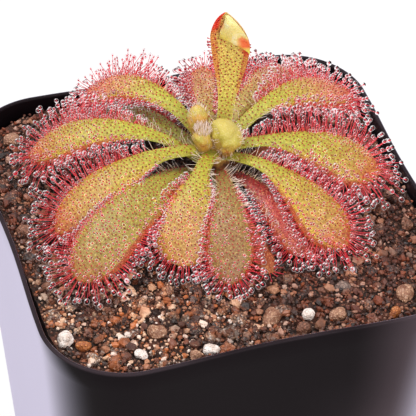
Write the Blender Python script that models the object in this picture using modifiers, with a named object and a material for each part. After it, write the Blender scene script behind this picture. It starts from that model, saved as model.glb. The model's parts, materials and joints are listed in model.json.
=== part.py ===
"""Potted sundew, in metres, +Z up, origin at the middle of the pot's underside.

A rosette of spoon-shaped leaves on a short stem, with young leaves still curled up at its crown, grows
in a square nursery pot of gritty mix. Every leaf, bud, dead leaf and larger stone is a piece of its own.
"""
import math
import random
from collections import namedtuple

import bmesh
import bpy
from mathutils import Matrix, Vector, noise

MM = 0.001
CLEARANCE = 0.3 * MM  # left between pieces that touch

# Pot: a square, thin-walled nursery pot with round corners, drawn in a little along each side
POT_HEIGHT = 65 * MM
RIM_WIDTH = 70 * MM
BASE_WIDTH = 59 * MM
RIM_CORNER = 13.6 * MM
BASE_CORNER = 11.5 * MM
SIDE_BOW = 0.7 * MM
FOOT_RADIUS = 1.5 * MM  # rounding between the walls and the floor
WALL = 0.8 * MM
DRAIN_RADIUS = 3.5 * MM
DRAIN_SPACING = 34 * MM  # between the outer drain holes, which stand at the corners of a square

# Mix
MIX_DROP = 2.2 * MM  # from the rim down to the mix at the wall
MIX_MOUND = 1.4 * MM  # how much higher the mix stands under the plant
MIX_ROUGHNESS = 0.5 * MM
MIX_CELLS = 18

# Plant
CROWN_X = 2.0 * MM
CROWN_Y = 5.2 * MM
STEM_TOP = 8.6 * MM  # above the rim, as every height of the plant is
STEM_FOOT = -10 * MM
STEM_RADIUS = 2.8 * MM
LEAF_THICKNESS = 0.6 * MM
LEAF_ROWS = 13
LEAF_COLUMNS = 6
STALK_END = 0.18  # where the stalk starts to widen into the blade, as a share of the leaf's length
TIP_START = 0.78  # where the blade is widest and starts to round off, as a share too
TIP_WIDTH = 0.26  # width of the blade's blunt end, as a share of its greatest width
ROLL_END = 0.4  # share of the leaf's length within which it rolls to one side

# Angles are in degrees and lengths in millimetres. azimuth is where a leaf points from the crown, seen
# from above; rise and droop are its slopes at the stalk and at the tip; bend is how far it turns sideways
# on its way; height is where its stalk leaves the stem; curl is how far its edges turn down, and roll how
# far the blade tips over to one side.
Leaf = namedtuple("Leaf", "name azimuth length rise droop bend height width curl roll stalk", defaults=[2.6])
LEAVES = [
    Leaf("leaf_01", 237, 23.0, 13, -58, 7, 8.2, 8.4, 0.40, 5),
    Leaf("leaf_02", 263, 26.0, 32, -63, -14, 5.0, 6.4, 0.40, 0),
    Leaf("leaf_03", 295, 22.5, 22, -55, 0, 4.0, 6.0, 0.40, 0),
    Leaf("leaf_04", 310, 26.5, 16, -54, -12, 7.2, 7.2, 0.40, 0),
    Leaf("leaf_05", 340, 26.2, 20, -42, -5, 8.0, 7.5, 0.40, -10),
    Leaf("leaf_06", 24, 28.0, 33, -46, -14, 7.4, 6.2, 0.40, -5),
    Leaf("leaf_07", 49, 27.5, 26, -38, -18, 5.8, 7.5, 0.40, 0),
    Leaf("leaf_08", 68, 24.0, 20, -35, 0, 4.0, 7.5, 0.40, 0),
    Leaf("leaf_09", 82, 17.4, 15, -6, -12, 6.8, 4.6, 0.40, 0, 2.4),
    Leaf("leaf_10", 119, 27.3, 34, -54, 15, 8.0, 5.6, 0.40, 10),
    Leaf("leaf_11", 123, 23.0, 18, -42, 5, 5.2, 7.2, 0.40, 0),
    Leaf("leaf_12", 158, 31.0, 37, -56, 0, 5.5, 6.5, 0.40, 8),
    Leaf("leaf_13", 188, 29.5, 18, -54, 12, 8.0, 8.0, 0.45, 2, 2.4),
    Leaf("leaf_14", 211, 33.0, 30, -48, 4, 3.9, 8.0, 0.40, 10),
]
YOUNG_LEAF = Leaf("young_leaf", 44, 23.8, 77, 98, 0, 8.0, 5.6, -0.20, -15, 2.6)

# Dead leaves lie lower, folded along their length
OLD_LEAVES = [
    Leaf("old_leaf_1", 275, 21.0, 8, -26, 0, 2.3, 4.0, 0.90, 0, 1.8),
    Leaf("old_leaf_2", 318, 19.0, 6, -18, -6, 2.2, 4.5, 0.80, 0, 1.8),
    Leaf("old_leaf_3", 230, 16.0, 6, -22, 6, 2.2, 4.5, 0.80, 0, 1.8),
    Leaf("old_leaf_4", 12, 17.0, 6, -20, 5, 2.4, 4.5, 0.80, 0, 1.8),
]

# Curled young leaves: place of the foot, height of the foot, length and thickness, and lean
Bud = namedtuple("Bud", "name x y foot length width lean azimuth")
BUDS = [
    Bud("bud_large", 3.3, 3.0, 7.8, 6.8, 4.4, 10, 300),
    Bud("bud_front", -0.2, 4.2, 8.2, 5.8, 2.7, 10, 215),
    Bud("bud_rear", 0.1, 7.0, 8.3, 7.0, 2.6, 8, 150),
]

BUD_FOOT_GIRTH = 0.75  # girths of a bud's lower end and of its upper half, against an even egg shape
BUD_TOP_GIRTH = 1.1

# The larger stones: place on the mix, length, and colour
Stone = namedtuple("Stone", "x y length colour")
STONES = [
    Stone(-31.0, -22.5, 3.4, "pale"),
    Stone(-28.5, -24.5, 2.4, "rust"),
    Stone(-20.5, -28.8, 2.4, "pale"),
    Stone(-9.8, -30.8, 2.6, "pale"),
    Stone(-12.6, -31.6, 2.0, "tan"),
    Stone(-17.0, -25.0, 3.2, "tan"),
    Stone(1.4, -26.6, 3.6, "tan"),
    Stone(5.4, -30.6, 2.8, "brown"),
    Stone(7.2, -27.8, 2.4, "pale"),
    Stone(11.7, -28.8, 2.8, "tan"),
    Stone(14.8, -23.0, 2.6, "grey"),
    Stone(20.4, -31.0, 2.2, "rust"),
    Stone(23.5, -27.6, 3.4, "tan"),
    Stone(30.0, -12.0, 2.8, "brown"),
    Stone(31.0, 20.0, 3.0, "grey"),
    Stone(-30.5, 4.0, 3.0, "brown"),
    Stone(-27.0, 26.5, 3.0, "tan"),
    Stone(14.0, 31.0, 3.2, "pale"),
]
STONE_SINK = 0.35  # share of a stone's height that lies below the mix
STONE_LUMPS = 0.22  # how far a stone's surface strays from an even shape, as a share of its radius
STONE_COLOURS = {
    "pale": (0.80, 0.70, 0.64),
    "tan": (0.45, 0.28, 0.15),
    "rust": (0.50, 0.19, 0.05),
    "brown": (0.22, 0.12, 0.08),
    "grey": (0.25, 0.22, 0.20),
}

ARC_STEPS = 8  # faces around each corner of the pot
SIDE_STEPS = 4  # faces along each side of the pot
POT_BANDS = (0.35, 0.7, 1)  # heights of the rings between the foot's rounding and the rim, as shares

POT_COLOUR = (0.018, 0.014, 0.017)
MIX_COLOUR = (0.10, 0.055, 0.035)
STEM_COLOUR = (0.16, 0.11, 0.04)
LEAF_COLOUR = (0.42, 0.40, 0.06)
YOUNG_COLOUR = (0.60, 0.47, 0.09)
DEAD_COLOUR = (0.40, 0.12, 0.04)


def clear_scene():
    for obj in list(bpy.data.objects):
        bpy.data.objects.remove(obj)
    for collection in list(bpy.data.collections):
        bpy.data.collections.remove(collection)


def new_collection(name):
    collection = bpy.data.collections.new(name)
    bpy.context.scene.collection.children.link(collection)
    return collection


def principled(name, colour, roughness):
    material = bpy.data.materials.new(name)
    material.use_nodes = True
    shader = material.node_tree.nodes["Principled BSDF"]
    shader.inputs["Base Color"].default_value = (*colour, 1)
    shader.inputs["Roughness"].default_value = roughness
    shader.inputs["Metallic"].default_value = 0
    material.diffuse_color = (*colour, 1)
    return material


def add_object(name, bm, collection, colour, roughness):
    """Makes an object of its own from a bmesh, shaded smooth where its faces meet gently."""
    mesh = bpy.data.meshes.new(name)
    bm.to_mesh(mesh)
    bm.free()
    mesh.shade_smooth()
    mesh.set_sharp_from_angle(angle=math.radians(40))
    mesh.materials.append(principled(name, colour, roughness))
    obj = bpy.data.objects.new(name, mesh)
    collection.objects.link(obj)
    return obj


def cut(obj, name, bm, cutters):
    """Cuts the shape in a bmesh out of an object."""
    cutter = add_object(name, bm, cutters, (1, 1, 1), 0.5)
    cutter.hide_render = True
    cutter.display_type = "WIRE"
    modifier = obj.modifiers.new(name, "BOOLEAN")
    modifier.operation = "DIFFERENCE"
    modifier.solver = "EXACT"
    modifier.object = cutter


def smoothstep(low, high, value):
    t = min(max((value - low) / (high - low), 0), 1)
    return t * t * (3 - 2 * t)


def lerp(low, high, share):
    return low + (high - low) * share


# Pot -------------------------------------------------------------------------------------------------

def rounded_square(width, corner, bow):
    """Outline of the pot at one height, anticlockwise, with each side drawn in by bow at its middle."""
    flat = width / 2 - corner
    outline = []
    for turn in range(4):
        quarter = Matrix.Rotation(turn * math.pi / 2, 2)
        for step in range(ARC_STEPS + 1):
            angle = math.pi / 2 * step / ARC_STEPS
            arc = Vector((flat + corner * math.cos(angle), flat + corner * math.sin(angle)))
            outline.append(quarter @ arc)
        for step in range(1, SIDE_STEPS):
            along = 1 - 2 * step / SIDE_STEPS
            inset = bow * (1 + math.cos(math.pi * along)) / 2
            outline.append(quarter @ Vector((flat * along, width / 2 - inset)))
    return outline


def pot_width(height):
    return lerp(BASE_WIDTH, RIM_WIDTH, height / POT_HEIGHT)


def pot_outline(height):
    share = height / POT_HEIGHT
    return rounded_square(pot_width(height), lerp(BASE_CORNER, RIM_CORNER, share), SIDE_BOW * share)


def pot_levels():
    """Outline and height of each ring of the pot's outer skin, from the floor up."""
    levels = []
    for step in range(4):
        angle = math.pi / 2 * step / 3
        height = FOOT_RADIUS * (1 - math.cos(angle))
        inset = FOOT_RADIUS * (1 - math.sin(angle))
        ring = [point * (1 - inset / point.length) for point in pot_outline(height)]
        levels.append((height, ring))
    for share in POT_BANDS:
        height = lerp(FOOT_RADIUS, POT_HEIGHT, share)
        levels.append((height, pot_outline(height)))
    return levels


def make_pot(parts, cutters):
    bm = bmesh.new()
    rings = []
    for height, outline in pot_levels():
        rings.append([bm.verts.new((*point, height)) for point in outline])
    bm.faces.new(reversed(rings[0]))
    for lower, upper in zip(rings, rings[1:]):
        for i, vert in enumerate(lower):
            j = (i + 1) % len(lower)
            bm.faces.new((vert, lower[j], upper[j], upper[i]))
    pot = add_object("pot", bm, parts, POT_COLOUR, 0.4)
    shell = pot.modifiers.new("Wall", "SOLIDIFY")
    shell.thickness = WALL
    shell.offset = -1
    shell.use_even_offset = True
    corner = DRAIN_SPACING / 2
    for x, y in ((0, 0), (corner, corner), (-corner, corner), (-corner, -corner), (corner, -corner)):
        drain = bmesh.new()
        bmesh.ops.create_cone(drain, cap_ends=True, segments=16, radius1=DRAIN_RADIUS, radius2=DRAIN_RADIUS,
                              depth=6 * WALL, matrix=Matrix.Translation((x, y, 0)))
        cut(pot, "drain_hole", drain, cutters)


# Mix -------------------------------------------------------------------------------------------------

def outline_radius(angle, half, corner):
    """Distance from the middle of a rounded square to its edge in one direction."""
    x = abs(math.cos(angle))
    y = abs(math.sin(angle))
    if x < y:
        x, y = y, x
    flat = half - corner
    if half * y / x <= flat:
        return half / x
    middle = flat * (x + y)
    return middle + math.sqrt(middle ** 2 - 2 * flat ** 2 + corner ** 2)


def mix_height(x, y):
    """Top of the mix: a low mound under the plant, with an uneven surface."""
    from_crown = math.hypot(x - CROWN_X, y - CROWN_Y)
    mound = MIX_MOUND * (1 - smoothstep(4 * MM, 26 * MM, from_crown))
    bumps = MIX_ROUGHNESS * noise.noise(Vector((x, y, 0)) / (4 * MM))
    return POT_HEIGHT - MIX_DROP + mound + bumps


def make_mix(parts):
    floor = WALL + CLEARANCE
    top = POT_HEIGHT - MIX_DROP
    inset = WALL + SIDE_BOW + CLEARANCE
    half = pot_width(top) / 2 - inset
    taper = (pot_width(floor) / 2 - FOOT_RADIUS - inset) / half
    bm = bmesh.new()
    bmesh.ops.create_grid(bm, x_segments=MIX_CELLS, y_segments=MIX_CELLS, size=1)
    for vert in bm.verts:
        out = max(abs(vert.co.x), abs(vert.co.y))
        angle = math.atan2(vert.co.y, vert.co.x)
        radius = out * outline_radius(angle, half, RIM_CORNER - WALL)
        vert.co = Vector((radius * math.cos(angle), radius * math.sin(angle), 0))
        vert.co.z = mix_height(vert.co.x, vert.co.y)
    rim = [edge for edge in bm.edges if edge.is_boundary]
    skirt = bmesh.ops.extrude_edge_only(bm, edges=rim)["geom"]
    for vert in skirt:
        if isinstance(vert, bmesh.types.BMVert):
            vert.co = Vector((vert.co.x * taper, vert.co.y * taper, floor))
    bmesh.ops.holes_fill(bm, edges=[edge for edge in bm.edges if edge.is_boundary])
    bmesh.ops.recalc_face_normals(bm, faces=bm.faces)
    return add_object("potting_mix", bm, parts, MIX_COLOUR, 0.9)


# Stem, leaves and buds -------------------------------------------------------------------------------

def stem_radius(height):
    """Radius of the stem at a height above the rim: a taper to a blunt point, with a domed top."""
    share = (height - STEM_FOOT) / (STEM_TOP - STEM_FOOT)
    return STEM_RADIUS * smoothstep(-0.2, 0.3, share) * math.sqrt(max(1 - share ** 16, 0))


def make_stem(parts, mix_body, cutters):
    """The short stem, turned from a profile that runs down its outer side, in a socket of the mix."""
    steps = 16
    bm = bmesh.new()
    previous = None
    for i in range(steps + 1):
        height = lerp(STEM_TOP, STEM_FOOT, i / steps)
        radius = 0 if i in (0, steps) else stem_radius(height)
        vert = bm.verts.new((radius, 0, POT_HEIGHT + height))
        if previous:
            bm.edges.new((previous, vert))
        previous = vert
    stem = add_object("crown_stem", bm, parts, STEM_COLOUR, 0.7)
    stem.location = (CROWN_X, CROWN_Y, 0)
    turn = stem.modifiers.new("Turn", "SCREW")
    turn.steps = turn.render_steps = 20
    turn.use_merge_vertices = True
    turn.merge_threshold = 0.00001
    socket = bmesh.new()
    radius = STEM_RADIUS + CLEARANCE
    depth = CLEARANCE - STEM_FOOT
    bmesh.ops.create_cone(socket, cap_ends=True, segments=20, radius1=radius, radius2=radius,
                          depth=2 * depth, matrix=Matrix.Translation((CROWN_X, CROWN_Y, POT_HEIGHT)))
    cut(mix_body, "stem_socket", socket, cutters)


def leaf_frames(leaf, rows):
    """Middle line of a leaf from stalk to tip: each point with its side and upward directions."""
    azimuth = math.radians(leaf.azimuth)
    height = leaf.height * MM
    start = stem_radius(height - LEAF_THICKNESS) + 1.5 * CLEARANCE
    point = Vector((CROWN_X + start * math.cos(azimuth), CROWN_Y + start * math.sin(azimuth),
                    POT_HEIGHT + height))
    step = leaf.length * MM / rows
    frames = []
    for row in range(rows + 1):
        share = row / rows
        slope = math.radians(lerp(leaf.rise, leaf.droop, share))
        heading = azimuth + math.radians(leaf.bend) * share
        along = Vector((math.cos(slope) * math.cos(heading), math.cos(slope) * math.sin(heading),
                        math.sin(slope)))
        side = Vector((math.sin(heading), -math.cos(heading), 0))
        twist = Matrix.Rotation(-math.radians(leaf.roll) * smoothstep(0, ROLL_END, share), 3, along)
        frames.append((point.copy(), twist @ side, twist @ side.cross(along)))
        point += along * step
    return frames


def leaf_half_width(leaf, share):
    """Half the width of a spoon-shaped leaf: a narrow stalk that widens to a blade with a round end."""
    half = lerp(leaf.stalk, leaf.width, smoothstep(STALK_END, TIP_START, share)) / 2 * MM
    if share > TIP_START:
        rounding = (share - TIP_START) / (1 - TIP_START)
        half *= math.sqrt(1 - (1 - TIP_WIDTH ** 2) * rounding ** 2)
    return half


def make_leaf(leaf, parts, colour):
    """An arched, channelled sheet of even thickness, bent from a flat grid."""
    frames = leaf_frames(leaf, LEAF_ROWS)
    bm = bmesh.new()
    bmesh.ops.create_grid(bm, x_segments=LEAF_ROWS, y_segments=LEAF_COLUMNS, size=1)
    for vert in bm.verts:
        row = round((vert.co.x + 1) / 2 * LEAF_ROWS)
        across = vert.co.y
        middle, side, up = frames[row]
        half = leaf_half_width(leaf, row / LEAF_ROWS)
        vert.co = middle - side * half * across - up * half * leaf.curl * across ** 2
    obj = add_object(leaf.name, bm, parts, colour, 0.5)
    sheet = obj.modifiers.new("Thickness", "SOLIDIFY")
    sheet.thickness = LEAF_THICKNESS
    sheet.offset = -1


def make_bud(bud, parts):
    """A curled young leaf: an egg-shaped body, slimmer at its foot, whose top nods over."""
    bm = bmesh.new()
    bmesh.ops.create_uvsphere(bm, u_segments=12, v_segments=8, radius=0.5)
    lean = math.tan(math.radians(bud.lean))
    for vert in bm.verts:
        share = vert.co.z + 0.5
        girth = bud.width * lerp(BUD_FOOT_GIRTH, BUD_TOP_GIRTH, smoothstep(0, 0.5, share))
        vert.co.x = vert.co.x * girth + bud.length * lean * share ** 2
        vert.co.y = vert.co.y * girth
        vert.co.z = share * bud.length
    turn = Matrix.Rotation(math.radians(bud.azimuth), 4, "Z")
    place = Matrix.Translation((bud.x * MM, bud.y * MM, POT_HEIGHT + bud.foot * MM))
    bmesh.ops.transform(bm, matrix=place @ turn @ Matrix.Scale(MM, 4), verts=bm.verts)
    add_object(bud.name, bm, parts, YOUNG_COLOUR, 0.5)


# Stones ----------------------------------------------------------------------------------------------

def make_stone(number, stone, parts, mix_body, cutters):
    """A rounded stone with a few flats, lying in a hollow of the mix that clears it all round."""
    chance = random.Random(number)
    length = stone.length * MM
    size = Vector((length, length * chance.uniform(0.7, 0.9), length * chance.uniform(0.55, 0.75))) / 2
    x = stone.x * MM
    y = stone.y * MM
    middle = Vector((x, y, mix_height(x, y) + size.z * (1 - 2 * STONE_SINK)))
    turn = Matrix.Rotation(chance.uniform(0, math.tau), 4, "Z")
    bm = bmesh.new()
    hollow = bmesh.new()
    for shape, spare in ((bm, 0), (hollow, 1.5 * CLEARANCE)):
        bmesh.ops.create_icosphere(shape, subdivisions=2, radius=1)
        for vert in shape.verts:
            lump = 1 + STONE_LUMPS * noise.noise(vert.co * 1.3 + Vector((7 * number, 0, 0)))
            shaped = Vector([co * (half * lump + spare) for co, half in zip(vert.co, size)])
            vert.co = middle + turn @ shaped
    name = f"stone_{number:02d}"
    add_object(name, bm, parts, STONE_COLOURS[stone.colour], 0.6)
    cut(mix_body, name + "_hollow", hollow, cutters)


def main():
    clear_scene()
    parts = new_collection("Potted sundew")
    cutters = new_collection("Cutters")
    make_pot(parts, cutters)
    mix_body = make_mix(parts)
    make_stem(parts, mix_body, cutters)
    for leaf in LEAVES:
        make_leaf(leaf, parts, LEAF_COLOUR)
    make_leaf(YOUNG_LEAF, parts, YOUNG_COLOUR)
    for leaf in OLD_LEAVES:
        make_leaf(leaf, parts, DEAD_COLOUR)
    for bud in BUDS:
        make_bud(bud, parts)
    for number, stone in enumerate(STONES, start=1):
        make_stone(number, stone, parts, mix_body, cutters)


main()
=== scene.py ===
import json
import math
import random

import bmesh
import bpy
from mathutils import Matrix, Vector, noise

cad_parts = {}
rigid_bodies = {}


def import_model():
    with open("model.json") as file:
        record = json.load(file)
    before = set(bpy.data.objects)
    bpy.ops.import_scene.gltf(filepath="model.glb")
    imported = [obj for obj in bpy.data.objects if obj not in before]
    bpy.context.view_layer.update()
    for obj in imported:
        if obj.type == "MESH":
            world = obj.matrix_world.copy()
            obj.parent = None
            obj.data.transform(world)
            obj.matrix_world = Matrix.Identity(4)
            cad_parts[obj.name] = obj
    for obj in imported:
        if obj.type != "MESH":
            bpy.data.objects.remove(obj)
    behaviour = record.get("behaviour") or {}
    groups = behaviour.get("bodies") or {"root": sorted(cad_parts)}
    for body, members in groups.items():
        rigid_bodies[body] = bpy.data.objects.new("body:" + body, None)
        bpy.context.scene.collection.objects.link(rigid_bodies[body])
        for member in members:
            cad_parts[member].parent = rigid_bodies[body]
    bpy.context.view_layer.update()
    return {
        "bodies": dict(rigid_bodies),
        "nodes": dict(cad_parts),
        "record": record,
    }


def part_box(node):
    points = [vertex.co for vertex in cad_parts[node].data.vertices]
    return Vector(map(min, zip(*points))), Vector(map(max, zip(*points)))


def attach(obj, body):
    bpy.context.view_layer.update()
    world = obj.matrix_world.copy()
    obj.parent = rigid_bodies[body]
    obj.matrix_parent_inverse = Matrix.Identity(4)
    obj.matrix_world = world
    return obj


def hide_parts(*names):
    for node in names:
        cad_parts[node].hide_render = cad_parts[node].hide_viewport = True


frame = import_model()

mm = 0.001
kept = set(frame["nodes"].values()) | set(frame["bodies"].values())
for stray in [thing for thing in bpy.data.objects if thing not in kept]:
    bpy.data.objects.remove(stray)


# An output socket that can stand in a sum
class Wire:
    def __init__(self, maker, socket):
        self.maker = maker
        self.socket = socket

    def out(self, name):
        return Wire(self.maker, self.socket.node.outputs[name])

    def __add__(self, other):
        return self.maker.calc("ADD", self, other)

    def __radd__(self, other):
        return self.maker.calc("ADD", other, self)

    def __sub__(self, other):
        return self.maker.calc("SUBTRACT", self, other)

    def __rsub__(self, other):
        return self.maker.calc("SUBTRACT", other, self)

    def __mul__(self, other):
        return self.maker.calc("MULTIPLY", self, other)

    def __rmul__(self, other):
        return self.maker.calc("MULTIPLY", other, self)

    def __truediv__(self, other):
        return self.maker.calc("DIVIDE", self, other)

    def __pow__(self, other):
        return self.maker.calc("POWER", self, other)


# Makes the nodes of a material or of a Geometry Nodes tree
class Maker:
    def __init__(self, tree):
        self.tree = tree

    # settings are set first, then sockets get values or links; output picks the socket that is returned
    def node(self, kind, settings=None, sockets=None, output=0):
        made = self.tree.nodes.new(kind)
        for name, value in (settings or {}).items():
            if name == "stops":
                self.fillRamp(made.color_ramp, value)
            else:
                setattr(made, name, value)
        for key, value in (sockets or {}).items():
            socket = made.inputs[key]
            if isinstance(value, Wire):
                self.tree.links.new(value.socket, socket)
            elif isinstance(value, list):
                for wire in value:
                    self.tree.links.new(wire.socket, socket)
            elif socket.type == "VECTOR" and not hasattr(value, "__len__"):
                socket.default_value = (value,) * 3
            else:
                socket.default_value = value
        return Wire(self, made.outputs[output])

    def fillRamp(self, ramp, stops):
        while len(ramp.elements) < len(stops):
            ramp.elements.new(1)
        for element, (position, colour) in zip(ramp.elements, stops):
            element.position = position
            element.color = shade(colour)

    def calc(self, operation, *values):
        vector = any(isinstance(value, Wire) and value.socket.type == "VECTOR" for value in values)
        kind = "ShaderNodeVectorMath" if vector else "ShaderNodeMath"
        return self.node(kind, {"operation": operation}, dict(enumerate(values)))

    # 0 below low, 1 above high, with an eased rise between
    def ease(self, value, low, high):
        sockets = {"Value": value, "From Min": low, "From Max": high}
        return self.node("ShaderNodeMapRange", {"interpolation_type": "SMOOTHSTEP"}, sockets)

    def blend(self, first, second, factor, mode="MIX"):
        first, second = (value if isinstance(value, Wire) else shade(value) for value in (first, second))
        settings = {"data_type": "RGBA", "blend_type": mode}
        return self.node("ShaderNodeMix", settings, {0: factor, 6: first, 7: second}, output=2)

    def ramp(self, factor, stops):
        return self.node("ShaderNodeValToRGB", {"stops": stops}, {0: factor})

    def noise(self, place, size, detail=2.0, roughness=0.5):
        sockets = {"Vector": place, "Scale": 1 / size, "Detail": detail, "Roughness": roughness}
        return self.node("ShaderNodeTexNoise", None, sockets)


# An sRGB hex colour as a scene-linear colour
def shade(colour):
    if not isinstance(colour, str):
        return (*colour[:3], 1)
    levels = [int(colour[i:i + 2], 16) / 255 for i in (1, 3, 5)]
    return (*[c / 12.92 if c <= 0.04045 else ((c + 0.055) / 1.055) ** 2.4 for c in levels], 1)


# Starts a material; its even values go straight onto the Principled BSDF's own sockets
def newMaterial(name, **values):
    material = bpy.data.materials.new(name)
    material.use_nodes = True
    surface = material.node_tree.nodes["Principled BSDF"]
    for key, value in values.items():
        surface.inputs[key.replace("_", " ")].default_value = value
    return material, Maker(material.node_tree), surface


def wear(maker, surface, **wires):
    for key, wire in wires.items():
        maker.tree.links.new(wire.socket, surface.inputs[key.replace("_", " ")])


def bumpy(maker, surface, height, distance, strength=1.0):
    bump = maker.node("ShaderNodeBump", None, {"Height": height, "Distance": distance, "Strength": strength})
    wear(maker, surface, Normal=bump)


# Lays more shaders over the Principled BSDF; each comes with the share of it that shows
def coverWith(maker, surface, *covers):
    shader = Wire(maker, surface.outputs["BSDF"])
    for share, cover in covers:
        shader = maker.node("ShaderNodeMixShader", None, {0: share, 1: shader, 2: cover})
    maker.tree.links.new(shader.socket, maker.tree.nodes["Material Output"].inputs["Surface"])


def objectPlace(maker):
    return maker.node("ShaderNodeTexCoord").out("Object")


def attribute(maker, name):
    return maker.node("ShaderNodeAttribute", {"attribute_name": name}).out("Fac")


# Starts a Geometry Nodes tree with named inputs; returns its maker and the wires of those inputs
def newTree(name, inputs):
    tree = bpy.data.node_groups.new(name, "GeometryNodeTree")
    tree.interface.new_socket("Geometry", in_out="INPUT", socket_type="NodeSocketGeometry")
    for label, (kind, value) in inputs.items():
        socket = tree.interface.new_socket(label, in_out="INPUT", socket_type="NodeSocket" + kind)
        if value is not None:
            socket.default_value = value
    tree.interface.new_socket("Geometry", in_out="OUTPUT", socket_type="NodeSocketGeometry")
    maker = Maker(tree)
    entry = maker.node("NodeGroupInput")
    return maker, {label: entry.out(label) for label in ["Geometry", *inputs]}


def endTree(maker, geometry, material):
    realized = maker.node("GeometryNodeRealizeInstances", None, {"Geometry": geometry})
    painted = maker.node("GeometryNodeSetMaterial", None, {"Geometry": realized, "Material": material})
    ending = maker.tree.nodes.new("NodeGroupOutput")
    maker.tree.links.new(painted.socket, ending.inputs["Geometry"])
    return maker.tree


# Reads and writes attributes of the points in a tree
def field(maker, name, kind="FLOAT"):
    return maker.node("GeometryNodeInputNamedAttribute", {"data_type": kind}, {"Name": name})


def store(maker, geometry, name, value):
    return maker.node("GeometryNodeStoreNamedAttribute", {"data_type": "FLOAT", "domain": "POINT"}, {
        "Geometry": geometry, "Name": name, "Value": value})


# A piece's mesh with its modifiers carried out
def modifiedMesh(piece):
    depsgraph = bpy.context.evaluated_depsgraph_get()
    return bpy.data.meshes.new_from_object(piece.evaluated_get(depsgraph), depsgraph=depsgraph)


# Runs a tree on a mesh and returns the result as a plain mesh object
def grow(name, tree, mesh, values, smooth=True):
    seedbed = bpy.data.objects.new(name + "_seedbed", mesh)
    bpy.context.scene.collection.objects.link(seedbed)
    modifier = seedbed.modifiers.new("Grow", "NODES")
    modifier.node_group = tree
    for socket in tree.interface.items_tree:
        if socket.in_out == "INPUT" and socket.name in values:
            modifier[socket.identifier] = values[socket.name]
    grown = modifiedMesh(seedbed)
    seedbed.modifiers.remove(modifier)
    bpy.data.objects.remove(seedbed)
    if not grown.polygons:
        return None
    grown.name = name
    if smooth:
        grown.shade_smooth()
    return addPiece(name, grown)


def addPiece(name, mesh, *materials):
    piece = bpy.data.objects.new(name, mesh)
    bpy.context.scene.collection.objects.link(piece)
    for material in materials:
        mesh.materials.append(material)
    return piece


def fasten(piece, replaces=()):
    if piece is None:
        return
    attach(piece, "root")
    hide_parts(*replaces)


# Joins pieces into the first one, which keeps its name
def joinUp(name, pieces):
    pieces = [piece for piece in pieces if piece]
    if not pieces:
        return None
    with bpy.context.temp_override(active_object=pieces[0], selected_editable_objects=pieces):
        bpy.ops.object.join()
    pieces[0].name = pieces[0].data.name = name
    return pieces[0]


def fromBmesh(name, bm, *materials, smooth=True, sharp=None):
    mesh = bpy.data.meshes.new(name)
    bm.to_mesh(mesh)
    bm.free()
    if smooth:
        mesh.shade_smooth()
    if sharp:
        mesh.set_sharp_from_angle(angle=math.radians(sharp))
    return addPiece(name, mesh, *materials)


# Faces between each ring of points and the next
def joinRings(bm, rings):
    for lower, upper in zip(rings, rings[1:]):
        for i, vert in enumerate(lower):
            j = (i + 1) % len(lower)
            bm.faces.new((vert, lower[j], upper[j], upper[i]))


# Triangles from a ring of points to one more point, which close its end
def capRing(bm, ring, point):
    for i, vert in enumerate(ring):
        bm.faces.new((vert, ring[(i + 1) % len(ring)], point))


def smoothstep(low, high, value):
    t = min(max((value - low) / (high - low), 0), 1)
    return t * t * (3 - 2 * t)


def lerp(low, high, share):
    return low + (high - low) * share


def setAttribute(mesh, name, kind, values):
    layer = mesh.attributes.new(name, kind, "POINT")
    if kind == "FLOAT_VECTOR":
        layer.data.foreach_set("vector", [part for value in values for part in value])
    else:
        layer.data.foreach_set("value", values)


# Stores one row of numbers per point, a named attribute for each column
def setAttributes(mesh, names, rows):
    for name, column in zip(names, zip(*rows)):
        setAttribute(mesh, name, "FLOAT", list(column))


potLow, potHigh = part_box("pot")
rimHeight = potHigh.z
stemLow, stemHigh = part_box("crown_stem")
crown = Vector(((stemLow.x + stemHigh.x) / 2, (stemLow.y + stemHigh.y) / 2, 0))
print("frame loaded, rim at", round(rimHeight / mm, 1), "mm")


# Pot: thin square walls with round corners, drawn in a little along each side
pot = {
    "rimCorner": 13.6 * mm,
    "footCorner": 11.5 * mm,
    "footWidth": 59 * mm,
    "bow": 0.7 * mm,
    "footRadius": 1.5 * mm,
    "wall": 0.8 * mm,
    "lip": 0.25 * mm,  # rounding of the rim's edges
    "drainRadius": 3.5 * mm,
    "drainSpacing": 34 * mm,
    "drainSides": 40,
    "arcSteps": 20,
    "sideSteps": 12,
    "levels": 16,
    "footSteps": 6,
    "lipSteps": 3,
    "insideSteps": 4,
    "sharp": 40,  # edges bent more than this, in degrees, look crisp
}


# The pot's outline at a height, moved inwards by inset
def potOutline(height, inset):
    share = height / rimHeight
    width = lerp(pot["footWidth"], potHigh.x - potLow.x, share) - 2 * inset
    corner = lerp(pot["footCorner"], pot["rimCorner"], share) - inset
    flat = width / 2 - corner
    outline = []
    for turn in range(4):
        quarter = Matrix.Rotation(turn * math.pi / 2, 2)
        for step in range(pot["arcSteps"] + 1):
            angle = math.pi / 2 * step / pot["arcSteps"]
            arc = Vector((flat + corner * math.cos(angle), flat + corner * math.sin(angle)))
            outline.append(quarter @ arc)
        for step in range(1, pot["sideSteps"]):
            along = 1 - 2 * step / pot["sideSteps"]
            drawnIn = pot["bow"] * share * (1 + math.cos(math.pi * along)) / 2
            outline.append(quarter @ Vector((flat * along, width / 2 - drawnIn)))
    return outline


# Sine and cosine at even steps through a quarter turn
def quarterTurn(steps):
    angles = [math.pi / 2 * step / steps for step in range(steps + 1)]
    return [(math.sin(angle), math.cos(angle)) for angle in angles]


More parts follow.
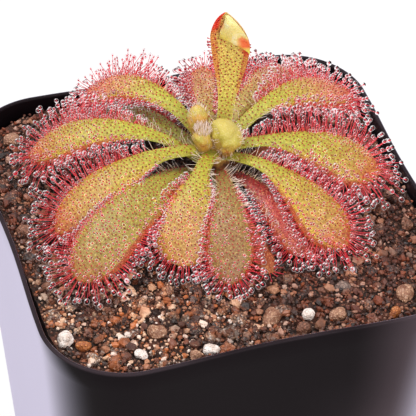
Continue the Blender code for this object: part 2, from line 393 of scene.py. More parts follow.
# Heights and insets of the rings, from the underside up the outside and down the inside
def potProfile():
    foot, wall, lip = pot["footRadius"], pot["wall"], pot["lip"]
    footArc, lipArc, insideArc = (quarterTurn(pot[key]) for key in ("footSteps", "lipSteps", "insideSteps"))
    shares = [step / pot["levels"] for step in range(1, pot["levels"] + 1)]
    spare = foot - wall
    rings = [(foot * (1 - cos), foot * (1 - sin)) for sin, cos in footArc]
    rings += [(lerp(foot, rimHeight - lip, share), 0) for share in shares]
    rings += [(rimHeight - lip * (1 - sin), lip * (1 - cos)) for sin, cos in lipArc[1:]]
    rings += [(rimHeight - lip * (1 - cos), wall - lip * (1 - sin)) for sin, cos in lipArc]
    rings += [(lerp(rimHeight - lip, foot, share), wall) for share in shares]
    rings += [(foot - spare * sin, wall + spare * (1 - cos)) for sin, cos in insideArc[1:]]
    return rings


def potMaterial():
    material, maker, surface = newMaterial("blackPlastic", Specular_IOR_Level=0.04)
    place = objectPlace(maker)
    broad = maker.noise(place, 18 * mm, 3)
    fine = maker.noise(place, 0.35 * mm, 2)
    across = maker.node("ShaderNodeSeparateXYZ", None, {0: place})
    height = across.out("Z")
    worn = maker.ease(height, rimHeight - 0.5 * mm, rimHeight) * maker.ease(broad, 0.2, 0.7)
    front = maker.ease(0 - across.out("Y"), 18 * mm, 32 * mm)
    # lighter low on the right of the front wall: partly dust, partly painted reflection
    low = 1 - maker.ease(height + 12 * mm * broad, 20 * mm, 62 * mm)
    dustAndSheen = low * maker.ease(across, 0, 36 * mm) * front
    # painted sheen: the right part of the front wall is lighter, as a reflection would make it
    paintedSheen = maker.ease(across, 12 * mm, 34 * mm) * front
    plastic = maker.blend(maker.blend("#110B0E", "#5A4C52", paintedSheen), "#6C5E65", dustAndSheen * 0.6)
    wear(maker, surface, Base_Color=maker.blend(plastic, "#4A3E44", worn * 0.4))
    wear(maker, surface, Roughness=0.28 + 0.1 * broad + 0.08 * fine)
    bumpy(maker, surface, fine + 4 * broad, 0.02 * mm, 0.5)
    # a satin sheen that grows towards grazing angles
    sheen = maker.node("ShaderNodeBsdfAnisotropic", None, {"Color": shade("#EFE8FF"), "Roughness": 0.3})
    facing = maker.node("ShaderNodeLayerWeight", None, {"Blend": 0.5}).out("Facing")
    coverWith(maker, surface, (maker.ease(facing, 0.42, 0.9) * 0.68, sheen))
    return material


def drainCutter():
    bm = bmesh.new()
    corner = pot["drainSpacing"] / 2
    for x, y in ((0, 0), (corner, corner), (-corner, corner), (-corner, -corner), (corner, -corner)):
        bmesh.ops.create_cone(bm, cap_ends=True, segments=pot["drainSides"], radius1=pot["drainRadius"],
                              radius2=pot["drainRadius"], depth=6 * pot["wall"],
                              matrix=Matrix.Translation((x, y, 0)))
    return fromBmesh("drain_cutter", bm)


def makePot():
    bm = bmesh.new()
    rings = [[bm.verts.new((*point, height)) for point in potOutline(height, inset)]
             for height, inset in potProfile()]
    joinRings(bm, rings)
    bm.faces.new(reversed(rings[0]))
    bm.faces.new(rings[-1])
    bmesh.ops.recalc_face_normals(bm, faces=bm.faces)
    shell = fromBmesh("pot_shell", bm, potMaterial())
    cutter = drainCutter()
    cut = shell.modifiers.new("Drains", "BOOLEAN")
    cut.operation = "DIFFERENCE"
    cut.solver = "EXACT"
    cut.object = cutter
    mesh = modifiedMesh(shell)
    shell.modifiers.remove(cut)
    shell.data = mesh
    bpy.data.objects.remove(cutter)
    mesh.set_sharp_from_angle(angle=math.radians(pot["sharp"]))
    # level faces are shaded flat, so that the underside looks even
    for polygon in mesh.polygons:
        polygon.use_smooth = abs(polygon.normal.z) < 0.999
    fasten(shell, ["pot"])


makePot()
print("pot done")


# Potting mix: a dark bed of peat, covered with grit
mix = {
    "drop": 2.2 * mm,
    "mound": 1.4 * mm,
    "moundEnds": (4 * mm, 26 * mm),  # it falls away between these distances from the crown
    "roughness": 0.5 * mm,
    "bumpSize": 4 * mm,
    "crumbs": 0.55 * mm,  # height of the bed's own small lumps
    "crumbSize": 1.3 * mm,
    "sunk": 0.35 * mm,  # how far the bed lies below the ground that the grains are scattered on
    "cells": 110,
    "clearance": 0.3 * mm,
    "sharp": 60,
}


def mixHeight(x, y):
    fromCrown = math.hypot(x - crown.x, y - crown.y)
    mound = mix["mound"] * (1 - smoothstep(*mix["moundEnds"], fromCrown))
    bumps = mix["roughness"] * noise.noise(Vector((x, y, 0)) / mix["bumpSize"])
    return rimHeight - mix["drop"] + mound + bumps


# Distance from the middle of a rounded square to its edge in one direction
def edgeRadius(angle, half, corner):
    x, y = sorted((abs(math.cos(angle)), abs(math.sin(angle))), reverse=True)
    flat = half - corner
    if half * y / x <= flat:
        return half / x
    middle = flat * (x + y)
    return middle + math.sqrt(middle ** 2 - 2 * flat ** 2 + corner ** 2)


mixHalf = (lerp(pot["footWidth"], potHigh.x - potLow.x, 1 - mix["drop"] / rimHeight) / 2
           - pot["wall"] - pot["bow"] - mix["clearance"])


# A grid that fills a rounded square, half as wide as half says, at the mix's height
def potGrid(half):
    bm = bmesh.new()
    bmesh.ops.create_grid(bm, x_segments=mix["cells"], y_segments=mix["cells"], size=1)
    for vert in bm.verts:
        out = max(abs(vert.co.x), abs(vert.co.y))
        angle = math.atan2(vert.co.y, vert.co.x)
        radius = out * edgeRadius(angle, half, pot["rimCorner"] - pot["wall"])
        x, y = radius * math.cos(angle), radius * math.sin(angle)
        vert.co = Vector((x, y, mixHeight(x, y)))
    return bm


def mixMaterial():
    material, maker, surface = newMaterial("peat", Roughness=0.85)
    place = objectPlace(maker)
    coarse = maker.noise(place, 2.2 * mm, 4)
    fine = maker.noise(place, 0.35 * mm, 3)
    earth = maker.ramp(coarse, [(0.3, "#160C08"), (0.5, "#321A10"), (0.68, "#5A2E1E")])
    wear(maker, surface, Base_Color=maker.blend(earth, "#8A5A42", maker.ease(fine, 0.56, 0.76)))
    bumpy(maker, surface, fine + coarse, 0.3 * mm)
    return material


def makeMix():
    floor = pot["wall"] + mix["clearance"]
    taper = (pot["footWidth"] / 2 - pot["footRadius"] - pot["wall"] - pot["bow"] - mix["clearance"]) / mixHalf
    bm = potGrid(mixHalf)
    for vert in bm.verts:
        place = Vector((vert.co.x, vert.co.y, 0)) / mix["crumbSize"]
        vert.co.z += mix["crumbs"] * noise.fractal(place, 1.0, 2.0, 3) - mix["sunk"]
    rim = [edge for edge in bm.edges if edge.is_boundary]
    skirt = bmesh.ops.extrude_edge_only(bm, edges=rim)["geom"]
    for part in skirt:
        if isinstance(part, bmesh.types.BMVert):
            part.co = Vector((part.co.x * taper, part.co.y * taper, floor))
    bmesh.ops.holes_fill(bm, edges=[edge for edge in bm.edges if edge.is_boundary])
    bmesh.ops.recalc_face_normals(bm, faces=bm.faces)
    bed = fromBmesh("mix_bed", bm, mixMaterial(), sharp=mix["sharp"])
    fasten(bed, ["potting_mix"])


makeMix()


# Grit: grains scattered over the mix, in three sizes, coloured in clumps. wallRoom stays free along the pot's
# wall, lift raises or sinks the grains, and crust is the share of them that are crusts of smaller ones.
grit = {
    "clods": {"spacing": 3.2 * mm, "smallest": 2.0 * mm, "largest": 3.6 * mm, "wallRoom": 1.8 * mm,
              "detail": 3, "lift": -0.45 * mm, "crust": 1.0},
    "coarse": {"spacing": 1.3 * mm, "smallest": 0.9 * mm, "largest": 2.3 * mm, "wallRoom": 1.15 * mm,
               "detail": 1, "lift": 0.1 * mm, "crust": 0.3},
    "fine": {"spacing": 0.55 * mm, "smallest": 0.45 * mm, "largest": 1.1 * mm, "wallRoom": 0.35 * mm,
             "detail": 1, "lift": 0.2 * mm, "crust": 0.3},
    "shapes": 7,
    "clumpSize": 7 * mm,
    "density": 4e6,  # tries per square metre, before the spacing thins them
    "crownRoom": 3 * mm,
    "sharp": 50,
    "seed": 11,
    "crownShade": (18 * mm, 28 * mm),  # painted shade under the leaves fades out between these distances from the crown
    "litSpot": (-24 * mm, -26 * mm),  # a spot near the front left corner, where the painted light on the grit is brightest
    "dry": (6 * mm, 42 * mm),  # painted shade: the grit darkens between these distances from there
}


# 0 near a spot at the rim's height, 1 far from it
def awayFrom(maker, place, spot, near, far):
    distance = maker.node("ShaderNodeVectorMath", {"operation": "DISTANCE"}, {
        0: place, 1: (*spot, rimHeight)}, output="Value")
    return maker.ease(distance, near, far)


def gritMaterial():
    material, maker, surface = newMaterial("grit", Coat_Weight=0.15, Coat_Roughness=0.25)
    tone = attribute(maker, "tone")
    place = objectPlace(maker)
    speck = maker.noise(place, 0.25 * mm, 3)
    stain = maker.noise(place, 3 * mm, 3)
    # a crusty grain looks like many smaller ones stuck together
    cells = maker.node("ShaderNodeTexVoronoi", None, {"Vector": place, "Scale": 1 / (0.42 * mm)})
    cellTone = maker.node("ShaderNodeSeparateColor", None, {0: cells.out("Color")})
    crust = attribute(maker, "crust")
    crack = maker.ease(cells, 0.28, 0.6) * crust
    stone = maker.ramp(maker.calc("FRACT", tone + 0.42 * crust * (cellTone - 0.5) + 1), [
        (0.00, "#1A0C08"), (0.13, "#3C1A10"), (0.25, "#743E2A"), (0.35, "#B87A58"), (0.46, "#CE9C78"),
        (0.56, "#DEB494"), (0.64, "#F4E2D6"), (0.70, "#BE8C70"), (0.77, "#582C1C"), (0.85, "#C06A34"),
        (0.90, "#743A22"), (1.00, "#1A0C08")])
    stone = maker.blend(stone, "#5A2A1A", maker.ease(speck, 0.5, 0.66) * (0.25 + 0.3 * crust))
    stone = maker.blend(stone, "#F6D8B4", maker.ease(speck, 0.42, 0.3) * (0.2 + 0.3 * crust))
    stone = maker.blend(stone, "#28120C", crack * 0.65)
    stone = maker.blend(stone, "#B05C26", maker.ease(stain, 0.5, 0.63) * 0.5)
    # painted shadow: dark patches spread in broad noise
    stone = maker.blend(stone, "#22100B", maker.ease(maker.noise(place, 5 * mm, 3), 0.5, 0.62) * 0.55)
    # painted light and shade: the grit darkens away from a lit spot near the front left corner
    stone = maker.blend(stone, "#B6978B", awayFrom(maker, place, grit["litSpot"], *grit["dry"]), "MULTIPLY")
    # painted shade: the grit is darker near the crown, under the leaves
    crownShade = 1 - awayFrom(maker, place, crown.xy, *grit["crownShade"])
    wear(maker, surface, Base_Color=maker.blend(stone, "#180B08", crownShade * 0.5))
    wear(maker, surface, Roughness=0.8 - 0.4 * speck)
    bumpy(maker, surface, 0.4 * speck - crack, 0.16 * mm)
    return material


# Scatters noisy pebbles over a surface; a point attribute called room thins them out
def gritTree():
    maker, given = newTree("scatterGrit", {
        "Spacing": ("Float", 1 * mm), "Smallest": ("Float", 1 * mm), "Largest": ("Float", 2 * mm),
        "Lift": ("Float", 0.0), "Detail": ("Int", 2), "Clump Size": ("Float", 7 * mm), "Seed": ("Int", 1),
        "Crust": ("Float", 0.5), "Material": ("Material", None)})
    spots = maker.node("GeometryNodeDistributePointsOnFaces", {"distribute_method": "POISSON"}, {
        "Mesh": given["Geometry"], "Distance Min": given["Spacing"], "Density Max": grit["density"],
        "Density Factor": field(maker, "room"), "Seed": given["Seed"]})
    here = maker.node("GeometryNodeInputPosition")
    clump = maker.node("ShaderNodeTexNoise", None, {
        "Vector": here / given["Clump Size"], "Scale": 1.0, "Detail": 1.0})

    # a random value for each grain; offset keeps the draws apart
    def draw(low, high, offset, kind="FLOAT"):
        first = {"FLOAT_VECTOR": 0, "FLOAT": 2, "INT": 4}[kind]
        sockets = {first: low, first + 1: high, "Seed": given["Seed"] + offset}
        return maker.node("FunctionNodeRandomValue", {"data_type": kind}, sockets, output=first // 2)

    tone = maker.calc("FRACT", 0.75 * draw(0.0, 1.0, 1) + 0.9 * clump)
    crusty = maker.calc("LESS_THAN", draw(0.0, 1.0, 6), given["Crust"])
    toned = store(maker, store(maker, spots, "tone", tone), "crust", crusty)
    size = given["Smallest"] + (given["Largest"] - given["Smallest"]) * draw(0.0, 1.0, 2) ** 2.2
    risen = maker.node("ShaderNodeCombineXYZ", None, {"Z": given["Lift"] + size * draw(-0.25, 0.2, 3)})
    settled = maker.node("GeometryNodeSetPosition", None, {"Geometry": toned, "Offset": risen})
    pebbles = []
    normal = maker.node("GeometryNodeInputNormal")
    for shape in range(grit["shapes"]):
        ball = maker.node("GeometryNodeMeshIcoSphere", None, {"Radius": 0.5, "Subdivisions": given["Detail"]})
        lumps = maker.node("ShaderNodeTexNoise", {"noise_dimensions": "4D"}, {
            "Vector": here, "W": 3.7 * shape, "Scale": 1.9, "Detail": 3.0, "Roughness": 0.6})
        push = normal * ((lumps - 0.5) * 1.15)
        bent = maker.node("GeometryNodeSetPosition", None, {"Geometry": ball, "Offset": push})
        squash = (1.0, 0.72 + 0.05 * (shape % 4), 0.6 + 0.06 * (shape % 5))
        pebble = maker.node("GeometryNodeTransform", None, {"Geometry": bent, "Scale": squash})
        pebbles.append(maker.node("GeometryNodeGeometryToInstance", None, {"Geometry": pebble}))
    choice = maker.node("GeometryNodeJoinGeometry", None, {"Geometry": pebbles})
    turned = draw((-0.5, -0.5, -3.14), (0.5, 0.5, 3.14), 4, "FLOAT_VECTOR")
    placed = maker.node("GeometryNodeInstanceOnPoints", None, {
        "Points": settled, "Instance": choice, "Pick Instance": True,
        "Instance Index": draw(0, grit["shapes"] - 1, 5, "INT"), "Rotation": turned, "Scale": size})
    return endTree(maker, placed, given["Material"])


stones = [name for name in frame["nodes"] if name.startswith("stone_")]
stoneBoxes = [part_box(name) for name in stones]


# The ground that one size of grain is scattered on; room is 0 where a stone or the plant stands
def gritGround(kind):
    bm = potGrid(mixHalf + mix["clearance"] - kind["wallRoom"])
    mesh = bpy.data.meshes.new("grit_ground")
    bm.to_mesh(mesh)
    bm.free()
    room = []
    for vert in mesh.vertices:
        free = (vert.co - crown).xy.length >= grit["crownRoom"]
        for low, high in stoneBoxes:
            taken = (high - low).xy.length / 2.8 + kind["smallest"] / 2  # a little less than to its corners
            if (vert.co - (low + high) / 2).xy.length < taken:
                free = False
        room.append(float(free))
    setAttribute(mesh, "room", "FLOAT", room)
    return mesh


def makeGrit():
    tree = gritTree()
    material = gritMaterial()
    for size in ("clods", "coarse", "fine"):
        kind = grit[size]
        grains = grow("grit_" + size, tree, gritGround(kind), {
            "Spacing": kind["spacing"], "Smallest": kind["smallest"], "Largest": kind["largest"],
            "Lift": kind["lift"], "Detail": kind["detail"], "Clump Size": grit["clumpSize"],
            "Seed": grit["seed"], "Crust": kind["crust"], "Material": material}, smooth=size == "clods")
        if size == "clods":
            grains.data.set_sharp_from_angle(angle=math.radians(grit["sharp"]))
        fasten(grains)
        print("grit", size, len(grains.data.polygons), "faces")


makeGrit()


# Larger stones: each CAD stone's own shape, made finer and rougher. A look is a light tone, a dark tone and
# one for the flecks.
stoneShape = {
    "roundness": 0.6,
    "rough": 0.14,  # height of the small bumps in millimetres
    "roughSize": 0.9 * mm,
    "lumps": 0.5,  # and of the large ones
    "lumpSize": 1.5 * mm,
}
stoneLook = {
    "pale": ("#F8EEE8", "#D2BEB2", "#B08E7C"),
    "tan": ("#B88A6C", "#7A4A34", "#DDB89E"),
    "rust": ("#C47434", "#84401C", "#E0A878"),
    "brown": ("#8A5640", "#54301F", "#BC8C70"),
    "grey": ("#8E7468", "#54403A", "#B49C90"),
}


def stoneMaterial(colour):
    light, dark, fleck = stoneLook[colour]
    material, maker, surface = newMaterial(colour + "Stone", Coat_Weight=0.1, Coat_Roughness=0.3)
    place = objectPlace(maker)
    broad = maker.noise(place, 1.4 * mm, 3)
    fine = maker.noise(place, 0.25 * mm, 3)
    cells = maker.node("ShaderNodeTexVoronoi", None, {"Vector": place, "Scale": 1 / (0.5 * mm)})
    crack = maker.ease(cells, 0.3, 0.6)
    body = maker.blend(dark, light, maker.ease(broad, 0.32, 0.6))
    body = maker.blend(body, dark, crack * (0.3 if colour == "pale" else 0.7))
    wear(maker, surface, Base_Color=maker.blend(body, fleck, maker.ease(fine, 0.56, 0.72)))
    wear(maker, surface, Roughness=0.4 + 0.4 * fine)
    bumpy(maker, surface, fine + 2 * broad - crack, 0.12 * mm)
    return material


def makeStones():
    materials = {colour: stoneMaterial(colour) for colour in stoneLook}
    slots = {part["node"]: part["material_slot"] for part in frame["record"]["subparts"]}
    for name in stones:
        bm = bmesh.new()
        bm.from_mesh(frame["nodes"][name].data)
        bmesh.ops.remove_doubles(bm, verts=bm.verts, dist=0.01 * mm)
        bmesh.ops.subdivide_edges(bm, edges=bm.edges, cuts=1, use_grid_fill=True,
                                  smooth=stoneShape["roundness"])
        bm.normal_update()
        for vert in bm.verts:
            rough = noise.fractal(vert.co / stoneShape["roughSize"], 1.0, 2.0, 3)
            lumps = noise.noise(vert.co / stoneShape["lumpSize"] + Vector((7, 3, 1)))
            vert.co += vert.normal * mm * (stoneShape["rough"] * rough + stoneShape["lumps"] * lumps)
        bmesh.ops.triangulate(bm, faces=bm.faces)
        colour = slots[name].removeprefix("stone_")
        stone = fromBmesh(name + "_rough", bm, materials[colour], smooth=False)
        fasten(stone, [name])


makeStones()
print("mix and stones done")


# Leaves. Angles are in degrees, lengths in millimetres and places shares of the leaf's length. azimuth is
# where a leaf points from the crown, bend how far it turns sideways from there, and height where it leaves
# the stem, above the rim. rise and droop are its slopes at the foot and at the tip. stalk is the stalk's
# width and width times wider the blade's; taper and blunt round the tip, and drift slides it sideways. curl
# is how far the edges turn down, and roll how far the leaf tips to one side. reach is the length of its
# longest tentacles: sides scales them on its left and right edge, and starts is where they begin there. wet
# is the share of the small glands that carry a drop, and hairs stand between the foot and hairEnd.
plainLeaf = dict(bend=0, stalk=2.6, wider=1.2, taper=2, blunt=0.5, drift=0, curl=0.4, roll=0, sides=(1, 1),
                 starts=(0.3, 0.3), wet=0.45, hairs=36, hairEnd=0.45)
oldLeaf = dict(stalk=1.8, width=4.5, curl=0.8, look="dead", reach=1.6)
leafTable = {
    "leaf_01": dict(azimuth=237, length=23.0, rise=13, droop=-58, bend=7, height=8.2, width=8.4, wider=1.34,
                    roll=5, look="ripe", reach=3.0, sides=(0.22, 0.85), wet=0.7),
    "leaf_02": dict(azimuth=263, length=26.0, rise=32, droop=-63, bend=-14, height=5.0, width=6.4,
                    look="brown", reach=2.8, sides=(0.6, 0.35), wet=0.35, hairs=80, hairEnd=0.5),
    "leaf_03": dict(azimuth=295, length=22.5, rise=22, droop=-55, height=4.0, width=6.0,
                    look="maroon", reach=3.2, sides=(0.6, 0.5), hairs=110, hairEnd=0.7),
    "leaf_04": dict(azimuth=310, length=26.5, rise=16, droop=-54, bend=-12, height=7.2, width=7.2, wider=1.32,
                    look="golden", reach=4.4, sides=(1, 0.5), starts=(0.18, 0.3)),
    "leaf_05": dict(azimuth=340, length=26.2, rise=20, droop=-42, bend=-5, height=8.0, width=7.5, wider=1.32,
                    roll=-10, look="green", reach=4.8, sides=(1, 0.7), starts=(0.05, 0.25)),
    "leaf_06": dict(azimuth=24, length=28.0, rise=33, droop=-46, bend=-14, height=7.4, width=6.2, wider=1.32,
                    roll=-5, look="flushed", reach=4.2, sides=(1, 0.85)),
    "leaf_07": dict(azimuth=49, length=27.5, rise=26, droop=-38, bend=-18, height=5.8, width=7.5,
                    look="rosy", reach=3.6),
    "leaf_08": dict(azimuth=68, length=24.0, rise=20, droop=-35, height=4.0, width=7.5,
                    look="rosy", reach=3.6),
    "leaf_09": dict(azimuth=82, length=17.4, rise=15, droop=-6, bend=-12, height=6.8, width=4.6, stalk=2.4,
                    look="rosy", reach=2.8),
    "leaf_10": dict(azimuth=119, length=27.3, rise=34, droop=-54, bend=15, height=8.0, width=5.6,
                    roll=10, look="flushed", reach=4.2, sides=(0.5, 1)),
    "leaf_11": dict(azimuth=123, length=23.0, rise=18, droop=-42, bend=5, height=5.2, width=7.2,
                    look="olive", reach=4.2, sides=(0.6, 1)),
    "leaf_12": dict(azimuth=158, length=31.0, rise=37, droop=-56, height=5.5, width=6.5,
                    roll=8, look="green", reach=4.6, sides=(0.5, 1)),
    "leaf_13": dict(azimuth=188, length=29.5, rise=18, droop=-54, bend=12, height=8.0, width=8.0, stalk=3.0,
                    curl=0.45, roll=2, look="golden", reach=5.0, sides=(0.25, 1)),
    "leaf_14": dict(azimuth=211, length=33.0, rise=30, droop=-48, bend=4, height=3.9, width=8.0, stalk=6.6,
                    roll=10, look="olive", reach=4.0, sides=(0.55, 0.12)),
    "young_leaf": dict(azimuth=44, length=23.8, rise=77, droop=98, height=8.0, width=5.6, wider=1.15,
                       taper=1.5, blunt=0.66, drift=1.0, curl=-0.2, roll=-15, look="young", reach=0.8,
                       sides=(0.8, 0.3), wet=0),
    "old_leaf_1": dict(oldLeaf, azimuth=275, length=21.0, rise=8, droop=-26, height=2.3, width=4.0, curl=0.9),
    "old_leaf_2": dict(oldLeaf, azimuth=318, length=19.0, rise=6, droop=-18, bend=-6, height=2.2),
    "old_leaf_3": dict(oldLeaf, azimuth=230, length=16.0, rise=6, droop=-22, bend=6, height=2.2),
    "old_leaf_4": dict(oldLeaf, azimuth=12, length=17.0, rise=6, droop=-20, bend=5, height=2.4),
}
blade = {
    "stalkEnd": 0.18,
    "tipStart": 0.78,
    "thickness": 0.6 * mm,
    "spineRows": 13,  # joints of the leaf's middle line
    "rootRows": 3,  # rows that run on into the stem
    "rows": 34,
    "tipRows": 14,
    "ring": 30,  # points round the cross-section
    "flank": 0.6,  # how much of the curl comes at the very edge
    "rollEnd": 0.4,
    "driftEnds": (0.7, 1.1),
    "lumps": 0.1 * mm,
    "lumpSize": 2.2 * mm,
    "wrinkles": 0.5 * mm,  # depth of the creases in old leaves
    "ribSpacing": 0.44 * mm,
    "clearance": 0.45 * mm,
}
stem = {
    "radius": 2.8 * mm,
    "top": 8.6 * mm,  # above the rim
    "foot": -10 * mm,
    "ring": 40,
    "rows": 44,
    "scales": 0.35 * mm,  # height of the old leaf bases
    "scaleSize": 1.4 * mm,
}


def stemRadius(height):
    share = (height - stem["foot"]) / (stem["top"] - stem["foot"])
    return stem["radius"] * smoothstep(-0.2, 0.3, share) * math.sqrt(max(1 - share ** 16, 0))


# One leaf's shape: where a share s along it and a share v across it (-1 right, 1 left) lies
class Leaf:
    def __init__(self, name):
        self.name = name
        self.facts = {**plainLeaf, **leafTable[name]}
        self.length = self.facts["length"] * mm
        azimuth = math.radians(self.facts["azimuth"])
        height = self.facts["height"] * mm
        start = stemRadius(height - blade["thickness"]) + blade["clearance"]
        point = crown + Vector((start * math.cos(azimuth), start * math.sin(azimuth), rimHeight + height))
        self.joints = []
        for row in range(blade["spineRows"] + 1):
            self.joints.append(point.copy())
            point += self.heading(row / blade["spineRows"])[0] * self.length / blade["spineRows"]

    # Directions along, to the left and up, at a share of the leaf's length
    def heading(self, s):
        slope = math.radians(lerp(self.facts["rise"], self.facts["droop"], s))
        turn = math.radians(self.facts["azimuth"] + self.facts["bend"] * s)
        along = Vector((math.cos(slope) * math.cos(turn), math.cos(slope) * math.sin(turn), math.sin(slope)))
        right = Vector((math.sin(turn), -math.cos(turn), 0))
        roll = -math.radians(self.facts["roll"]) * smoothstep(0, blade["rollEnd"], s)
        twist = Matrix.Rotation(roll, 3, along)
        return along, -(twist @ right), twist @ right.cross(along)

    # A smooth line through the joints
    def middle(self, s):
        if s < 0:
            return self.joints[0] + self.heading(0)[0] * s * self.length
        x = min(s, 1) * blade["spineRows"]
        i = min(int(x), blade["spineRows"] - 1)
        t = x - i
        b, c = self.joints[i], self.joints[i + 1]
        a = self.joints[i - 1] if i > 0 else 2 * b - c
        d = self.joints[i + 2] if i + 2 < len(self.joints) else 2 * c - b
        return 0.5 * (2 * b + (c - a) * t + (2 * a - 5 * b + 4 * c - d) * t ** 2
                      + (3 * b - a - 3 * c + d) * t ** 3)

    def halfWidth(self, s):
        grown = smoothstep(blade["stalkEnd"], blade["tipStart"], s)
        half = lerp(self.facts["stalk"], self.facts["width"] * self.facts["wider"], grown) / 2 * mm
        if s > blade["tipStart"]:
            rounding = (s - blade["tipStart"]) / (1 - blade["tipStart"])
            half *= max(1 - rounding ** self.facts["taper"], 0) ** self.facts["blunt"]
        return half

    # How far the surface lies below the middle line, for a half width of 1
    def sag(self, v):
        return self.facts["curl"] * ((1 - blade["flank"]) * v ** 2 + blade["flank"] * v ** 4)

    def point(self, s, v):
        left, up = self.heading(s)[1:]
        half = self.halfWidth(s)
        drift = self.facts["drift"] * mm * smoothstep(*blade["driftEnds"], s)
        return self.middle(s) + left * (half * v + drift) - up * half * self.sag(v)

    def normal(self, s, v):
        left, up = self.heading(s)[1:]
        slope = self.facts["curl"] * (2 * (1 - blade["flank"]) * v + 4 * blade["flank"] * v ** 3)
        return (up + left * slope).normalized()


def leafRows():
    rows = [blade["tipStart"] * i / blade["rows"] for i in range(-blade["rootRows"], blade["rows"])]
    for i in range(blade["tipRows"]):
        turn = math.pi / 2 * i / blade["tipRows"]
        rows.append(blade["tipStart"] + (1 - blade["tipStart"]) * math.sin(turn))
    return rows


# The blade as a closed skin, with attributes along, across and under for its material
def makeBlade(leaf, material, wrinkle):
    bm = bmesh.new()
    rings, facts = [], []
    rows = leafRows()
    for s in rows:
        loop = []
        tipThin = 1 - 0.5 * smoothstep(0.9, 1, s)
        for i in range(blade["ring"]):
            turn = math.tau * i / blade["ring"]
            v = math.cos(turn)
            under = max(-math.sin(turn), 0)
            depth = blade["thickness"] * min(1, 1.35 * under ** 0.7) * (0.75 + 0.25 * (1 - v ** 2))
            normal = leaf.normal(s, v)
            spot = leaf.point(s, v) - normal * depth * tipThin
            lumps = noise.noise(spot / blade["lumpSize"]) * blade["lumps"]
            creases = wrinkle * noise.noise(Vector((s * 9, v * 2.2, leaf.length / mm)))
            loop.append(bm.verts.new(spot + normal * (lumps + creases)))
            facts.append((s, v, smoothstep(0, 0.25, under)))
        rings.append(loop)
    joinRings(bm, rings)
    for ring, s, share in ((rings[-1], 1, 1 / 4), (rings[0], rows[0], 1 / 2)):
        middle = leaf.point(s, 0) - leaf.heading(max(s, 0))[2] * blade["thickness"] * share
        capRing(bm, ring, bm.verts.new(middle))
        facts.append((s, 0, 0.5))
    bmesh.ops.recalc_face_normals(bm, faces=bm.faces)
    piece = fromBmesh(leaf.name + "_blade", bm, material)
    setAttributes(piece.data, ("along", "across", "under"), facts)
    return piece


# Colours: stops run from stalk to tip; middle tints the blade's centre, edge its margin, rib its striped
# flanks and under its underside
leafLooks = {
    "green": dict(stops=[(0.0, "#B2B03E"), (0.35, "#BAB83C"), (0.62, "#BAB040"), (0.80, "#C29C48"),
                         (0.94, "#D4482E")],
                  middle="#BA9E44", middleShare=0.4, edge="#DCC648", rib="#C05A24", under="#B8A860"),
    "flushed": dict(stops=[(0.0, "#B2B03E"), (0.35, "#BAB83C"), (0.58, "#BEAC46"), (0.74, "#D88468"),
                           (0.9, "#DC4438")],
                    middle="#CC9860", middleShare=0.4, edge="#DCC648", rib="#CC4A30", under="#B8A860"),
    "golden": dict(stops=[(0.0, "#B2B03E"), (0.3, "#B8B43C"), (0.6, "#C0A442"), (0.8, "#CA984A"),
                          (0.92, "#CC4428")],
                   middle="#BE9850", middleShare=0.5, edge="#E8CC40", rib="#C44E18", under="#B8A860"),
    "ripe": dict(stops=[(0.0, "#AEB03E"), (0.3, "#B8B43E"), (0.5, "#BEAE4A"), (0.8, "#C69A52"),
                        (0.98, "#D8A040")],
                 middle="#BA8C50", middleShare=0.7, edge="#E4B840", rib="#CC7434", under="#B8A060"),
    "olive": dict(stops=[(0.0, "#A09A3C"), (0.3, "#A6A03C"), (0.6, "#AA9842"), (0.85, "#A88A40"),
                         (0.98, "#B46836")],
                  middle="#A08644", middleShare=0.4, edge="#C4B04A", rib="#A06030", under="#94844E"),
    "brown": dict(stops=[(0.0, "#8C6A3C"), (0.3, "#98804A"), (0.6, "#A4824C"), (0.85, "#A27A48"),
                         (0.98, "#A4643C")],
                  middle="#9A6E48", middleShare=0.6, edge="#B09A4C", rib="#8E5438", under="#8A7A48"),
    "maroon": dict(stops=[(0.0, "#5E2018"), (0.2, "#8C1E22"), (0.6, "#C24A48"), (0.9, "#C2503E"),
                          (0.98, "#C86038")],
                   middle="#B83C42", middleShare=0.5, edge="#CC7450", rib="#801C20", under="#7A4A3C"),
    "rosy": dict(stops=[(0.0, "#B0A450"), (0.3, "#B8A254"), (0.6, "#C49462"), (0.85, "#D0846C"),
                        (0.98, "#D05850")],
                 middle="#C09464", middleShare=0.5, edge="#D09460", rib="#BC5044", under="#B09060"),
    "young": dict(stops=[(0.0, "#DEDC74"), (0.3, "#E8DC68"), (0.6, "#F0D468"), (0.85, "#F6CC68"),
                         (0.97, "#F2BC5C")],
                  middle="#E4CC66", middleShare=0.5, edge="#E8883C", rib="#DC7430", under="#F0E0A0"),
    "dead": dict(stops=[(0.0, "#7A4A28"), (0.3, "#A2502C"), (0.6, "#C4603A"), (0.85, "#B45030"),
                        (0.98, "#C87A50")],
                 middle="#A04428", middleShare=0.5, edge="#7A3420", rib="#6A2E1C", under="#8A4A32"),
}
# How far light of each colour goes inside leaves and buds
leafFlesh = {"Subsurface_Radius": (0.9, 0.6, 0.2), "Subsurface_Scale": 1.0 * mm}


